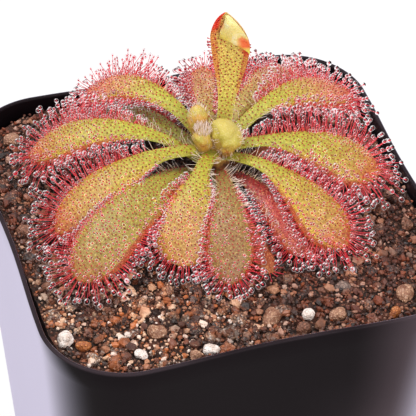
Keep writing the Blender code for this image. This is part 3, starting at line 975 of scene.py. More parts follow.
def leafMaterial(look, length):
    facts = leafLooks[look]
    dead = look == "dead"
    material, maker, surface = newMaterial(look + "Leaf", Subsurface_Weight=0 if dead else 0.18, **leafFlesh)
    place = objectPlace(maker)
    along, across, under = (attribute(maker, name) for name in ("along", "across", "under"))
    blotch = maker.noise(place, 2.6 * mm, 3)
    grain = maker.noise(place, 0.28 * mm, 2)
    out = maker.calc("ABSOLUTE", across)
    body = maker.ramp(along + 0.12 * (blotch - 0.5), facts["stops"])
    heart = (1 - maker.ease(out, 0.25, 0.8)) * maker.ease(along, 0.42, 0.7) * facts["middleShare"]
    body = maker.blend(body, facts["middle"], heart)
    # fine ribs run over the flanks to the tentacles' feet
    waves = maker.calc("SINE", along * (length / blade["ribSpacing"] * math.tau) + out * 5 + 5 * blotch)
    onFlank = maker.ease(out, 0.58, 0.8) * maker.ease(along, 0.3, 0.55)
    rib = maker.ease(waves, -0.2, 0.7) * onFlank
    body = maker.blend(body, facts["rib"], rib * 0.8)
    rim = maker.ease(out, 0.66, 0.76) * maker.ease(along, 0.25, 0.5)
    body = maker.blend(body, facts["edge"], rim * 0.7)
    if look not in ("young", "dead"):
        flush = maker.ease(out + 0.1 * (blotch - 0.5), 0.81, 0.9) * maker.ease(along, 0.3, 0.6)
        body = maker.blend(body, "#BC3428", flush * 0.85)
    body = maker.blend(body, facts["under"], under * 0.8)
    fleck = maker.noise(place, 0.7 * mm, 3, 0.6)
    body = maker.blend(body, facts["rib"], maker.ease(fleck, 0.52, 0.72) * 0.38)
    body = maker.blend(body, facts["edge"], maker.ease(fleck, 0.46, 0.3) * 0.3)
    light = maker.ease(grain, 0.3, 0.72)
    if look == "young":
        red = maker.ease(across, 0.35, 0.75) * maker.ease(along, 0.80, 0.88)
        red = maker.calc("MAXIMUM", red, maker.ease(0 - across, 0.35, 0.8) * maker.ease(along, 0.64, 0.70)
                         * (1 - maker.ease(along, 0.76, 0.84)))
        body = maker.blend(body, "#F02A14", red * maker.ease(blotch, 0.2, 0.45))
    body = maker.blend(body, maker.blend("#8E8A70", "#FFFFFF", light), 0.52, "MULTIPLY")
    # painted highlights: pale specks in the fine grain
    body = maker.blend(body, "#FFF2B0", maker.ease(grain, 0.56, 0.74) * 0.24)
    wear(maker, surface, Base_Color=maker.blend(body, "#F8F4DC", 0.2 if look == "young" else 1.0, "MULTIPLY"))
    wear(maker, surface, Roughness=(0.68 if dead else 0.34) + 0.25 * grain)
    bumpy(maker, surface, grain + 0.8 * blotch - 0.9 * rib, (0.2 if dead else 0.12) * mm, 0.8)
    return material


# Tentacles: ranks from the edge inwards. across is the rank's place, rise its angle above the blade.
tentacle = {
    "ranks": [
        dict(across=0.99, spacing=0.52, reach=0.6, rise=-8, drop=0),
        dict(across=0.985, spacing=0.66, reach=1.0, rise=4, drop=1.08),
        dict(across=0.955, spacing=0.74, reach=0.86, rise=20, drop=1.08),
        dict(across=0.905, spacing=0.84, reach=0.64, rise=38, drop=0.85),
        dict(across=0.83, spacing=0.92, reach=0.42, rise=56, drop=0.74),
        dict(across=0.74, spacing=1.0, reach=0.26, rise=72, drop=0.66),
    ],
    "stalk": (0.085 * mm, 0.048 * mm),  # radii at its foot and at its neck
    "hair": (0.05 * mm, 0.025 * mm),
    "gland": (0.25 * mm, 0.36 * mm),  # width and length
    "faceGland": (0.27 * mm, 0.22 * mm),
    "drop": (0.78 * mm, 0.86 * mm),
    "light": (-0.46, 0.22, 0.86),  # side of the drops that gets a painted glint
    "steps": 4,
    "sides": 3,
    "outlineSteps": 240,
    "outlineTip": 0.8,  # share of those steps that lies before the rounded tip
    "outlineCentre": 0.86,  # the place that the rounded tip shrinks towards
    "inner": 0.93,  # ranks nearer the middle than this are thinned where tentacles are small
    "growth": 0.38,  # share of the leaf over which they grow to their full length
    "tipEnds": (0.78, 0.93),  # between these places both edges become alike
    "ground": 0.9 * mm,  # room kept between the roots and the mix
    "faceSpacing": 0.52 * mm,
    "faceEdge": 0.8,
    "faceTries": 6,  # for each square of that spacing
    "faceStalk": 0.3 * mm,  # longer glands on the face get a stalk
    "oldShare": 0.35,  # how many an old leaf and the young leaf keep
    "youngShare": 0.6,
    "youngEnd": 0.78,  # the young leaf's tip has none past this place
    "seed": 5,
}


# Places on a leaf's outline, shrunk to a share of its width: x along the leaf and y to its side
def outline(leaf, share):
    walk = []
    for i in range(tentacle["outlineSteps"] + 1):
        t = i / tentacle["outlineSteps"]
        s = blade["tipStart"] * t / tentacle["outlineTip"]
        if t > tentacle["outlineTip"]:
            turn = math.pi / 2 * (t - tentacle["outlineTip"]) / (1 - tentacle["outlineTip"])
            s = blade["tipStart"] + (1 - blade["tipStart"]) * math.sin(turn)
        x = lerp(min(s, tentacle["outlineCentre"]), s, share) * leaf.length
        y = leaf.halfWidth(s) * share
        walk.append(Vector((x, y)))
    return walk


# Tentacles along both edges of a leaf, rank by rank
def tentacleRoots(leaf, dice):
    roots = []
    for rank in tentacle["ranks"]:
        walk = outline(leaf, rank["across"])
        for side, start, full in zip((1, -1), leaf.facts["starts"], leaf.facts["sides"]):
            carried = dice.uniform(0, rank["spacing"]) * mm
            for last, place in zip(walk, walk[1:]):
                step = place - last
                carried += step.length
                spacing = rank["spacing"] * mm * dice.uniform(0.8, 1.25)
                s = place.x / leaf.length
                if carried < spacing or s < start + 0.12 * (1 - rank["across"]):
                    continue
                carried = 0
                v = min(place.y / max(leaf.halfWidth(s), 1e-6), 1) * side
                outward = Vector((-step.y, step.x)).normalized()
                along, left, up = leaf.heading(s)
                flat = (left * outward.y * side + along * outward.x).normalized()
                rise = math.radians(rank["rise"] + dice.gauss(0, 8))
                aim = flat * math.cos(rise) + up * math.sin(rise) + along * dice.gauss(0, 0.12)
                size = lerp(full, 1, smoothstep(*tentacle["tipEnds"], s))
                share = size * (0.35 + 0.65 * smoothstep(start, start + 0.3, s))
                if rank["across"] < tentacle["inner"] and dice.random() > share:
                    continue
                grown = (0.3 + 0.7 * smoothstep(start, start + tentacle["growth"], s)) * size
                reach = leaf.facts["reach"] * mm * rank["reach"] * grown * dice.uniform(0.82, 1.15)
                drop = rank["drop"] * (0.62 + 0.38 * grown) * dice.uniform(0.82, 1.1)
                roots.append(aimed(leaf, s, v, aim, reach, drop, dice))
    return roots


# What one stalk needs: its root just inside the skin, its aim lifted clear of the ground, its length and bow,
# the size of its drop and its tint
def aimed(leaf, s, v, aim, reach, drop, dice):
    root = leaf.point(s, v) - leaf.normal(s, v) * 0.05 * mm
    aim = aim.normalized()
    lowest = mixHeight(root.x, root.y) + tentacle["ground"]
    if root.z + aim.z * reach < lowest:
        aim.z = max((lowest - root.z) / reach, -0.9)
        aim.normalize()
    bow = Vector((dice.gauss(0, 0.07), dice.gauss(0, 0.07), dice.uniform(-0.02, 0.16)))
    return {"root": root, "aim": aim, "reach": reach, "bow": bow, "drop": drop, "s": s,
            "tint": dice.random()}


# Small glands scattered over the upper face, kept apart from each other; near the edges some stand on stalks
def faceGlands(leaf, dice):
    found = []
    spacing, edge = tentacle["faceSpacing"], tentacle["faceEdge"]
    tries = int(leaf.length * leaf.facts["width"] * mm / spacing ** 2 * tentacle["faceTries"])
    for attempt in range(tries):
        s = dice.uniform(0.06, 0.97)
        v = dice.uniform(-edge, edge)
        spot = leaf.point(s, v)
        sparse = spacing * (1 + 0.3 * (1 - smoothstep(0.1, 0.5, s)))
        if all((spot - other["root"]).length > sparse for other in found):
            aim = leaf.normal(s, v) + Vector((dice.gauss(0, 0.2), dice.gauss(0, 0.2), 0))
            drop = dice.uniform(0.5, 0.8) if dice.random() > 0.06 * smoothstep(0.3, 0.6, s) else 1.0
            drop = drop if dice.random() < leaf.facts["wet"] * smoothstep(0.35, 0.7, s) else 0
            reach = dice.uniform(0.10, 0.24) * mm
            near = smoothstep(0.35, 0.75, abs(v)) * smoothstep(0.3, 0.55, s)
            if leaf.facts["wet"] and dice.random() < near * 0.8:
                reach = dice.uniform(0.3, 0.75) * mm
                drop = dice.uniform(0.5, 0.8)
                aim += leaf.heading(s)[1] * math.copysign(0.5, v)
            if leaf.name == "young_leaf" and s > 0.6 and dice.random() < 0.7:
                continue
            found.append(aimed(leaf, s, v, aim, reach, drop, dice))
    return found


# Pale hairs along a leaf's stalk
def stalkHairs(leaf, dice):
    found = []
    for i in range(leaf.facts["hairs"]):
        s = dice.uniform(0.0, leaf.facts["hairEnd"])
        side = dice.choice((-1, 1))
        along, left, up = leaf.heading(s)
        aim = left * side * dice.uniform(0.5, 1) + up * dice.uniform(0.1, 0.9)
        aim += along * dice.uniform(-0.1, 0.7)
        reach = dice.uniform(0.9, 2.5) * mm
        hair = aimed(leaf, s, side * dice.uniform(0.6, 0.98), aim, reach, 0, dice)
        hair["bow"] *= 0.4
        found.append(hair)
    return found


# A mesh of loose points, one for each stalk, with attributes for the trees to read
def pointsMesh(name, roots):
    mesh = bpy.data.meshes.new(name)
    mesh.from_pydata([root["root"] for root in roots], [], [])
    setAttribute(mesh, "aim", "FLOAT_VECTOR", [root["aim"] for root in roots])
    setAttribute(mesh, "bow", "FLOAT_VECTOR", [root["bow"] for root in roots])
    for key in ("reach", "drop", "tint"):
        setAttribute(mesh, key, "FLOAT", [root[key] for root in roots])
    return mesh


# Tapered stalks that leave each point along its aim and bend by its bow
def stalkTree():
    maker, given = newTree("growStalks", {
        "Foot Radius": ("Float", 0.08 * mm), "Neck Radius": ("Float", 0.04 * mm), "Steps": ("Int", 5),
        "Sides": ("Int", 4), "Material": ("Material", None)})
    line = maker.node("GeometryNodeCurvePrimitiveLine", None, {"End": (0, 0, 1)})
    line = maker.node("GeometryNodeResampleCurve", None, {"Curve": line, "Count": given["Steps"]})
    share = maker.node("GeometryNodeSplineParameter").out("Factor")
    placed = maker.node("GeometryNodeInstanceOnPoints", None, {
        "Points": given["Geometry"], "Instance": store(maker, line, "share", share)})
    lines = maker.node("GeometryNodeRealizeInstances", None, {"Geometry": placed})
    t = field(maker, "share")
    reach = field(maker, "reach")
    straight = maker.node("ShaderNodeCombineXYZ", None, {"Z": t})
    grown = field(maker, "aim", "FLOAT_VECTOR") * (reach * t) + field(maker, "bow", "FLOAT_VECTOR") * (
        reach * t * t)
    lines = maker.node("GeometryNodeSetPosition", None, {"Geometry": lines, "Offset": grown - straight})
    radius = given["Foot Radius"] + (given["Neck Radius"] - given["Foot Radius"]) * t ** 0.6
    profile = maker.node("GeometryNodeCurvePrimitiveCircle", None, {
        "Resolution": given["Sides"], "Radius": 1.0})
    tubes = maker.node("GeometryNodeCurveToMesh", None, {
        "Curve": lines, "Profile Curve": profile, "Scale": radius, "Fill Caps": True})
    return endTree(maker, tubes, given["Material"])


# Beads at the stalks' ends; Wet makes them as large as each point's drop, where 0 is none
def beadTree():
    maker, given = newTree("growBeads", {
        "Width": ("Float", 0.3 * mm), "Length": ("Float", 0.4 * mm), "Detail": ("Int", 1),
        "Wet": ("Bool", False), "Material": ("Material", None)})
    reach = field(maker, "reach")
    aim = field(maker, "aim", "FLOAT_VECTOR")
    bow = field(maker, "bow", "FLOAT_VECTOR")
    drop = field(maker, "drop")
    ends = maker.node("GeometryNodeSetPosition", None, {
        "Geometry": given["Geometry"], "Offset": (aim + bow) * reach})
    dry = maker.calc("LESS_THAN", drop, 0.01) * given["Wet"]
    ends = maker.node("GeometryNodeDeleteGeometry", {"domain": "POINT"}, {"Geometry": ends, "Selection": dry})
    bead = maker.node("GeometryNodeMeshIcoSphere", None, {"Radius": 0.5, "Subdivisions": given["Detail"]})
    wetSize = 1 + (drop - 1) * given["Wet"]
    size = maker.node("ShaderNodeCombineXYZ", None, {
        "X": given["Width"] * wetSize, "Y": given["Width"] * wetSize, "Z": given["Length"] * wetSize})
    facing = maker.node("FunctionNodeAlignRotationToVector", {"axis": "Z"}, {"Vector": aim + bow * 2.0})
    placed = maker.node("GeometryNodeInstanceOnPoints", None, {
        "Points": ends, "Instance": bead, "Rotation": facing, "Scale": size})
    beads = maker.node("GeometryNodeRealizeInstances", None, {"Geometry": placed})
    # lit: how squarely each point faces the side of the painted glint
    normal = maker.node("GeometryNodeInputNormal")
    lit = maker.node("ShaderNodeVectorMath", {"operation": "DOT_PRODUCT"}, {
        0: normal, 1: tentacle["light"]}, output="Value")
    return endTree(maker, store(maker, beads, "lit", lit), given["Material"])


def stalkMaterial():
    material, maker, surface = newMaterial("tentacleRed", Roughness=0.35, Subsurface_Weight=0.6,
                                           Subsurface_Radius=(1.0, 0.5, 0.5), Subsurface_Scale=0.3 * mm)
    tint = attribute(maker, "tint")
    share = attribute(maker, "share")
    red = maker.ramp(tint, [(0.0, "#EE6A6E"), (0.25, "#E03440"), (0.75, "#C81C2C"), (1.0, "#981424")])
    wear(maker, surface, Base_Color=maker.blend(red, "#D0602C", (1 - maker.ease(share, 0.0, 0.3)) * 0.5))
    return material


def hairMaterial():
    material, maker, surface = newMaterial("paleHair", Roughness=0.4)
    share = attribute(maker, "share")
    wear(maker, surface, Base_Color=maker.ramp(share, [(0.0, "#E4C47C"), (0.4, "#F4DCC8"), (1.0, "#FBECE8")]))
    return material


def glandMaterial():
    material, maker, surface = newMaterial("glandRed", Roughness=0.4)
    tint = attribute(maker, "tint")
    wear(maker, surface, Base_Color=maker.ramp(tint, [(0.0, "#C02034"), (0.5, "#A81428"), (1.0, "#800C1C")]))
    return material


# Clear sticky drops, which let light through to what they shade; a painted bright ring and a painted glint
# glow on them by emission
def dropMaterial():
    material, maker, surface = newMaterial("mucilage", Base_Color=(1.0, 0.93, 0.94, 1), Roughness=0.02,
                                           IOR=1.12, Transmission_Weight=1.0)
    facing = maker.node("ShaderNodeLayerWeight", None, {"Blend": 0.5}).out("Facing")
    # painted highlights: a ring that glows towards each drop's outline, and a glint on the side set by the
    # tentacles' light direction
    ring = maker.ease(facing, 0.43, 0.77) * 0.58
    glint = maker.ease(attribute(maker, "lit"), 0.79, 0.92) * 0.9
    paintedGlow = maker.node("ShaderNodeEmission", None, {"Color": shade("#FFF4F6"), "Strength": 1.0})
    shadow = maker.node("ShaderNodeLightPath").out("Is Shadow Ray")
    clear = maker.node("ShaderNodeBsdfTransparent")
    coverWith(maker, surface, (maker.calc("MAXIMUM", ring, glint), paintedGlow), (shadow, clear))
    return material


# The young leaf's tip, folded forward over one side: a thin closed lens between the margin and a free edge
fold = {
    "start": 0.7,  # shares of the leaf's length
    "end": 0.995,
    "rows": 22,
    "columns": 14,
    "bulge": 0.9 * mm,
    "thickness": 0.36 * mm,
    "lifts": (0.35, 1),  # shares of the thickness at which the lower and the upper skin lie
}


def foldMaterial():
    material, maker, surface = newMaterial("foldedTip", Roughness=0.45, Subsurface_Weight=0.25, **leafFlesh)
    place = objectPlace(maker)
    along, across, edge = (attribute(maker, name) for name in ("along", "across", "edge"))
    blotch = maker.noise(place, 1.2 * mm, 3)
    fine = maker.noise(place, 0.35 * mm, 3)
    ragged = along + 0.2 * (blotch - 0.5)
    pale = maker.ramp(along + 0.25 * (blotch - 0.5), [(0.68, "#E4B04C"), (0.8, "#DEC070"), (1.0, "#E2D48C")])
    pale = maker.blend(pale, "#C8B85C", maker.ease(fine, 0.5, 0.7) * 0.5)
    pale = maker.blend(pale, "#F0E4C0", maker.ease(blotch, 0.52, 0.66) * 0.4)
    pale = maker.blend(pale, "#DCC252", maker.calc("MAXIMUM", edge, 1 - maker.ease(ragged, 0.74, 0.80)))
    red = maker.ease(along, 0.735, 0.77) * (1 - maker.ease(ragged, 0.79, 0.86))
    red = red * maker.ease(0 - across, 0.3, 0.75) * 0.85
    seam = maker.ease(across, 0.12, 0.4) * maker.ease(along, 0.86, 0.93) * 0.85
    wear(maker, surface, Base_Color=maker.blend(pale, "#E2381C", maker.calc("MAXIMUM", red, seam)))
    bumpy(maker, surface, blotch, 0.12 * mm)
    return material


# One skin of the fold: its rows of points, and the attributes along, across and edge for each of them
def foldSkin(leaf, bm, lift):
    skin, facts = [], []
    for i in range(fold["rows"] + 1):
        risen = i / fold["rows"]
        s = lerp(fold["start"], fold["end"], risen)
        # where the loose edge lies across the leaf, and how far the skin stands off it
        free = lerp(-0.98, 0.5, smoothstep(fold["start"], 0.81, s)) * (1 - 0.8 * smoothstep(0.84, 1, s))
        swell = fold["bulge"] * smoothstep(-0.05, 0.3, risen) * (1 - 0.75 * smoothstep(0.8, 1, risen))
        row = []
        for j in range(fold["columns"] + 1):
            t = j / fold["columns"]
            v = lerp(-1.04, free, t)
            bulge = swell * math.sin(math.pi * min(t * 0.72 + 0.04, 1)) * smoothstep(0, 0.3, free + 1)
            sheet = lift * fold["thickness"] * (math.sin(math.pi * t) * 0.8 + 0.2)
            row.append(bm.verts.new(leaf.point(s, v) + leaf.normal(s, 0) * (bulge + sheet)))
            facts.append((s, v, smoothstep(0.45, 0.95, t) * (1 - smoothstep(0.8, 0.92, s))))
        skin.append(row)
    return skin, facts


def makeFold(leaf):
    bm = bmesh.new()
    (lower, lowerFacts), (upper, upperFacts) = (foldSkin(leaf, bm, lift) for lift in fold["lifts"])
    rows, columns = fold["rows"], fold["columns"]
    for i in range(rows):
        for j in range(columns):
            bm.faces.new((upper[i][j], upper[i + 1][j], upper[i + 1][j + 1], upper[i][j + 1]))
            bm.faces.new((lower[i][j], lower[i][j + 1], lower[i + 1][j + 1], lower[i + 1][j]))
    border = [(i, 0) for i in range(rows)] + [(rows, j) for j in range(columns)]
    border += [(i, columns) for i in range(rows, 0, -1)] + [(0, j) for j in range(columns, 0, -1)]
    joinRings(bm, [[skin[i][j] for i, j in border] for skin in (lower, upper)])
    bmesh.ops.recalc_face_normals(bm, faces=bm.faces)
    piece = fromBmesh(leaf.name + "_fold", bm, foldMaterial())
    setAttributes(piece.data, ("along", "across", "edge"), lowerFacts + upperFacts)
    fasten(piece)


def growStalks(name, tree, mesh, radii, material):
    return grow(name, tree, mesh, {
        "Foot Radius": radii[0], "Neck Radius": radii[1], "Steps": tentacle["steps"],
        "Sides": tentacle["sides"], "Material": material})


def growBeads(name, tree, mesh, size, detail, wet, material):
    return grow(name, tree, mesh, {
        "Width": size[0], "Length": size[1], "Detail": detail, "Wet": wet, "Material": material})


def makeLeaves():
    stalks, beads = stalkTree(), beadTree()
    stalkRed, glandRed, paleHair, mucilage = stalkMaterial(), glandMaterial(), hairMaterial(), dropMaterial()
    dice = random.Random(tentacle["seed"])
    total = 0
    for name, facts in leafTable.items():
        leaf = Leaf(name)
        dead, young = facts["look"] == "dead", facts["look"] == "young"
        material = leafMaterial(facts["look"], leaf.length)
        fasten(makeBlade(leaf, material, blade["wrinkles"] if dead else 0), [name])
        if young:
            makeFold(leaf)
        long = tentacleRoots(leaf, dice)
        if dead:
            long = [root for root in long if dice.random() < tentacle["oldShare"]]
        if young:
            long = [{**root, "drop": 0} for root in long
                    if root["s"] < tentacle["youngEnd"] and dice.random() < tentacle["youngShare"]]
        glands = [] if dead else faceGlands(leaf, dice)
        stalked = long + [root for root in glands if root["reach"] > tentacle["faceStalk"]]
        hairs = pointsMesh(name + "_hairPoints", stalkHairs(leaf, dice))
        ends = pointsMesh(name + "_points", long)
        dots = pointsMesh(name + "_dots", glands)
        stalked = pointsMesh(name + "_stalked", stalked)
        pieces = [growStalks(name + "_stalks", stalks, stalked, tentacle["stalk"], stalkRed),
                  growBeads(name + "_glands", beads, ends, tentacle["gland"], 1, False, glandRed),
                  growBeads(name + "_dots", beads, dots, tentacle["faceGland"], 1, False, glandRed),
                  growStalks(name + "_hairs", stalks, hairs, tentacle["hair"], paleHair)]
        fasten(joinUp(name + "_tentacles", pieces))
        if not dead:
            drops = growBeads(name + "_drops", beads, ends, tentacle["drop"], 2, True, mucilage)
            dew = growBeads(name + "_dew", beads, dots, tentacle["drop"], 1, True, mucilage)
            fasten(joinUp(name + "_drops", [drops, dew]))
        total += len(long)
    print("leaves done,", total, "tentacles")
    return stalks


leafStalks = makeLeaves()


# Buds: curled young leaves at the crown, with tufts of pale hairs. Lengths are in millimetres and angles in
# degrees; lean tips a bud towards azimuth, slant slopes its top, taper narrows its foot and warm reddens it.
# A tuft lies between two turns round the bud, 0 towards the lean, and two shares of its height; reach is its
# hairs' length, upward how steeply they rise, or hang where it is below 0, and thick their radius.
buds = {
    "bud_large": dict(x=3.2, y=2.9, foot=6.2, length=7.5, width=4.9, lean=2, azimuth=335, slant=-0.55,
                      taper=0.42, warm=0.0, tufts=[
        dict(turns=(-200, -120), heights=(0.15, 0.9), count=50, reach=0.7, upward=0.2, thick=0.045),
        dict(turns=(-30, 60), heights=(0.6, 0.92), count=50, reach=0.7, upward=0.3, thick=0.045),
        dict(turns=(-130, 20), heights=(0.1, 0.5), count=26, reach=0.8, upward=-1.6, thick=0.04)]),
    "bud_front": dict(x=-0.2, y=4.2, foot=6.9, length=5.5, width=3.2, lean=4, azimuth=215, slant=0.1,
                      taper=0.6, warm=0.5, tufts=[
        dict(turns=(-180, 180), heights=(0.88, 1.0), count=150, reach=1.2, upward=2.4, thick=0.068),
        dict(turns=(-180, 180), heights=(0.2, 0.8), count=50, reach=0.8, upward=1.4, thick=0.045)]),
    "bud_rear": dict(x=0.1, y=7.0, foot=6.6, length=8.0, width=3.2, lean=6, azimuth=150, slant=-0.2,
                     taper=0.7, warm=0.9, tufts=[
        dict(turns=(-180, 180), heights=(0.74, 1.0), count=80, reach=0.7, upward=1.0, thick=0.045)]),
}
budGrid = {"rows": 30, "ring": 44, "seed": 23}


def budMaterial(name, warm):
    material, maker, surface = newMaterial(name + "Yellow", Roughness=0.5, Subsurface_Weight=0.2, **leafFlesh)
    place = objectPlace(maker)
    height = attribute(maker, "height")
    turn = attribute(maker, "turn")
    blotch = maker.noise(place, 1.6 * mm, 2)
    grain = maker.noise(place, 0.25 * mm, 2)
    body = maker.ramp(height + 0.2 * (blotch - 0.5), [
        (0.10, "#9A5A24"), (0.26, "#BC8A30"), (0.46, "#C4A23E"), (0.75, "#B6A63C"), (1.0, "#BCA850")])
    body = maker.blend(body, "#CC7C28", maker.ease(blotch, 0.35, 0.62) * (1 - 0.5 * height) * warm)
    fibres = maker.calc("SINE", turn * 44 + 4 * blotch)
    streak = maker.ease(fibres, 0.1, 1.0) * (1 - maker.ease(height, 0.45, 0.8))
    body = maker.blend(body, "#C07828", streak * 0.6)
    silk = maker.ease(maker.calc("SINE", turn * 61 + 6 * blotch + 2), 0.5, 1.0) * maker.ease(grain, 0.4, 0.6)
    body = maker.blend(body, "#F0E4A8", silk * (1 - 0.6 * height) * 0.5)
    crease = maker.ease(blotch, 0.56, 0.68) * (1 - maker.ease(height, 0.5, 0.8))
    body = maker.blend(body, "#B0541E", crease * 0.6)
    wear(maker, surface, Base_Color=maker.blend(body, "#F0E4A8", maker.ease(grain, 0.52, 0.75) * 0.3))
    bumpy(maker, surface, grain + 0.7 * streak, 0.1 * mm)
    return material


# Where a height share and a turn lie on a bud's skin, in millimetres from its foot
def budPoint(facts, height, turn):
    lift = max(min(height, 1), 0)
    girth = facts["width"] / 2 * math.sqrt(max(1 - abs(2 * lift - 1) ** 2.6, 0))
    girth *= lerp(facts["taper"], 1.12, smoothstep(0, 0.75, lift))
    pleats = 1 + 0.045 * math.cos(11 * turn) * (1 - smoothstep(0.35, 0.8, lift))
    crease = 1 - 0.22 * math.exp(-((turn + 2.2) / 0.3) ** 2) * (1 - lift ** 4)
    lean = facts["length"] * math.tan(math.radians(facts["lean"])) * lift ** 2
    x = math.cos(turn) * girth * pleats * crease
    z = lift * facts["length"] + facts["slant"] * x * smoothstep(0.4, 1, lift)
    y = math.sin(turn) * girth * pleats * crease
    rough = 0.22 * noise.noise(Vector((x, y, z)) * 0.9)
    return Vector((x * (1 + rough) + lean, y * (1 + rough), z))


def budHood(name, facts, place):
    bm = bmesh.new()
    rows, ring = budGrid["rows"], budGrid["ring"]
    turns = [math.tau * i / ring - math.pi for i in range(ring)]
    loops, spots = [], []
    for row in range(1, rows):
        height = (1 - math.cos(math.pi * row / rows)) / 2
        loops.append([bm.verts.new(place @ budPoint(facts, height, turn)) for turn in turns])
        spots += [(height, turn) for turn in turns]
    joinRings(bm, loops)
    for height, loop in ((0, loops[0][::-1]), (1, loops[-1])):
        capRing(bm, loop, bm.verts.new(place @ budPoint(facts, height, 0)))
        spots.append((height, 0))
    piece = fromBmesh(name + "_hood", bm, budMaterial(name, facts["warm"]))
    setAttributes(piece.data, ("height", "turn"), spots)
    return piece


def tuftRoots(facts, tuft, place, dice):
    roots = []
    for i in range(tuft["count"]):
        turn = math.radians(dice.uniform(*tuft["turns"]))
        height = dice.uniform(*tuft["heights"])
        spot = budPoint(facts, height, turn)
        away = Vector((spot.x, spot.y, 0)).normalized()
        aim = away * dice.uniform(0.2, 0.8) + Vector((0, 0, tuft["upward"] * dice.uniform(0.6, 1.2)))
        aim = place.to_3x3() @ aim
        roots.append({
            "root": place @ (spot * 0.985), "aim": aim.normalized(), "drop": 0, "tint": dice.random(),
            "reach": tuft["reach"] * mm * dice.uniform(0.5, 1.2),
            "bow": Vector((dice.gauss(0, 0.15), dice.gauss(0, 0.15), dice.uniform(-0.1, 0.3)))})
    return roots


def makeBuds(stalks):
    hair = hairMaterial()
    dice = random.Random(budGrid["seed"])
    for name, facts in buds.items():
        place = Matrix.Translation((facts["x"] * mm, facts["y"] * mm, rimHeight + facts["foot"] * mm))
        place = place @ Matrix.Rotation(math.radians(facts["azimuth"]), 4, "Z") @ Matrix.Scale(mm, 4)
        fasten(budHood(name, facts, place), [name])
        tufts = []
        for tuft in facts["tufts"]:
            roots = pointsMesh(name + "_hairPoints", tuftRoots(facts, tuft, place, dice))
            radius = tuft["thick"] * mm
            tufts.append(growStalks(name + "_tuft", stalks, roots, (radius, radius / 2), hair))
        fasten(joinUp(name + "_hairs", tufts))


def stemMaterial():
    material, maker, surface = newMaterial("crownBrown", Roughness=0.6)
    place = objectPlace(maker)
    height = maker.node("ShaderNodeSeparateXYZ", None, {0: place}).out("Z")
    blotch = maker.noise(place, 1.1 * mm, 3)
    fine = maker.noise(place, 0.2 * mm, 2)
    old = maker.ramp(blotch, [(0.3, "#3A1C12"), (0.5, "#7A4020"), (0.7, "#A86A30")])
    fresh = maker.ramp(blotch, [(0.3, "#A0622A"), (0.5, "#C89A40"), (0.7, "#C8BC50")])
    top = maker.ease(height + 2 * mm * blotch, rimHeight + 5.5 * mm, rimHeight + 8 * mm)
    wear(maker, surface, Base_Color=maker.blend(old, fresh, top))
    bumpy(maker, surface, fine + blotch, 0.2 * mm)
    return material


# The stem: a lumpy stub with the remains of old leaf bases
def makeStem():
    bm = bmesh.new()
    loops = []
    for row in range(stem["rows"]):
        share = (row + 1) / (stem["rows"] + 1)
        level = lerp(stem["foot"], stem["top"], math.sin(math.pi / 2 * share))
        loop = []
        for i in range(stem["ring"]):
            turn = math.tau * i / stem["ring"]
            outward = Vector((math.cos(turn), math.sin(turn), 0))
            spot = outward * stemRadius(level) + Vector((0, 0, level))
            spot += outward * stem["scales"] * noise.fractal(spot / stem["scaleSize"], 1.0, 2.0, 3)
            loop.append(bm.verts.new(crown + Vector((0, 0, rimHeight)) + spot))
        loops.append(loop)
    joinRings(bm, loops)
    bm.faces.new(reversed(loops[0]))
    bm.faces.new(loops[-1])
    fasten(fromBmesh("crown_stub", bm, stemMaterial()), ["crown_stem"])


makeBuds(leafStalks)
makeStem()
print("crown done")


# Room: pale floor, white surroundings, soft lamps above; its sizes are in metres
studio = {
    "worldLight": 0.8,
    "floorGlow": 0.74,  # share of plain white in what the camera and shiny things see of the floor
    "floorGap": 0.1 * mm,
    "floorSize": 4,
    "lamps": [
        dict(name="overhead", place=(-0.22, 0.18, 0.62), size=0.3, power=2.6),
        dict(name="front", place=(0.12, -0.5, 0.4), size=0.3, power=2.0),
    ],
}


# 1 for what the camera sees, straight, mirrored or through a clear thing; 0 for what lights other surfaces
def seenShare(maker):
    path = maker.node("ShaderNodeLightPath")
    return maker.calc("MAXIMUM", path.out("Is Camera Ray"),
                      maker.calc("MAXIMUM", path.out("Is Glossy Ray"), path.out("Is Transmission Ray")))


def makeSurroundings():
    world = bpy.data.worlds.new("room")
    world.use_nodes = True
    bpy.context.scene.world = world
    maker = Maker(world.node_tree)
    background = world.node_tree.nodes["Background"]
    background.inputs["Color"].default_value = (1, 1, 1, 1)
    strength = studio["worldLight"] + (1 - studio["worldLight"]) * seenShare(maker)
    maker.tree.links.new(strength.socket, background.inputs["Strength"])


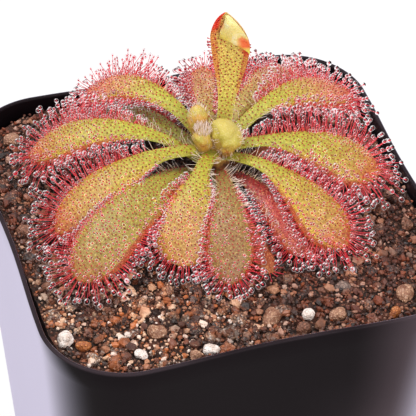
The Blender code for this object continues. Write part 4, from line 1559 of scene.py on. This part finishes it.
def floorMaterial():
    material, maker, surface = newMaterial("paleFloor", Base_Color=(0.9, 0.9, 0.9, 1), Roughness=0.7)
    glow = maker.node("ShaderNodeEmission", None, {"Color": (1, 1, 1, 1), "Strength": 1.0})
    # clear from below, so that the pot's underside can be seen
    below = maker.node("ShaderNodeNewGeometry").out("Backfacing")
    clear = maker.node("ShaderNodeBsdfTransparent")
    coverWith(maker, surface, (seenShare(maker) * studio["floorGlow"], glow), (below, clear))
    return material


def makeRoom():
    bpy.context.scene.view_settings.view_transform = "Standard"
    makeSurroundings()
    bm = bmesh.new()
    bmesh.ops.create_grid(bm, x_segments=1, y_segments=1, size=studio["floorSize"],
                          matrix=Matrix.Translation((0, 0, -studio["floorGap"])))
    fromBmesh("floor", bm, floorMaterial())
    for facts in studio["lamps"]:
        lamp = bpy.data.lights.new(facts["name"], "AREA")
        lamp.size = facts["size"]
        lamp.energy = facts["power"]
        holder = bpy.data.objects.new(facts["name"], lamp)
        holder.location = facts["place"]
        aim = Vector((0, 0, rimHeight)) - holder.location
        holder.rotation_euler = aim.to_track_quat("-Z", "Y").to_euler()
        bpy.context.scene.collection.objects.link(holder)


# Camera: from the front left, above, turned a little about its own axis
view = {
    "azimuth": -19.294,
    "elevation": 41.082,
    "roll": 2.172,
    "distance": 385.7 * mm,
    "aim": (-0.95 * mm, -1.27 * mm),  # at the rim's height
    "lens": 203.7,
    "sensor": 36,
    "nearest": 0.01,
}


def makeCamera():
    camera = bpy.data.cameras.new("camera")
    camera.lens = view["lens"]
    camera.sensor_width = view["sensor"]
    camera.clip_start = view["nearest"]
    holder = bpy.data.objects.new("camera", camera)
    turn = (Matrix.Rotation(math.radians(view["azimuth"]), 4, "Z")
            @ Matrix.Rotation(math.radians(90 - view["elevation"]), 4, "X")
            @ Matrix.Rotation(math.radians(view["roll"]), 4, "Z"))
    back = turn.to_3x3() @ Vector((0, 0, 1))
    aim = Vector((*view["aim"], rimHeight))
    holder.matrix_world = Matrix.Translation(aim + back * view["distance"]) @ turn
    bpy.context.scene.collection.objects.link(holder)
    bpy.context.scene.camera = holder


makeRoom()
makeCamera()
print("room and camera done")
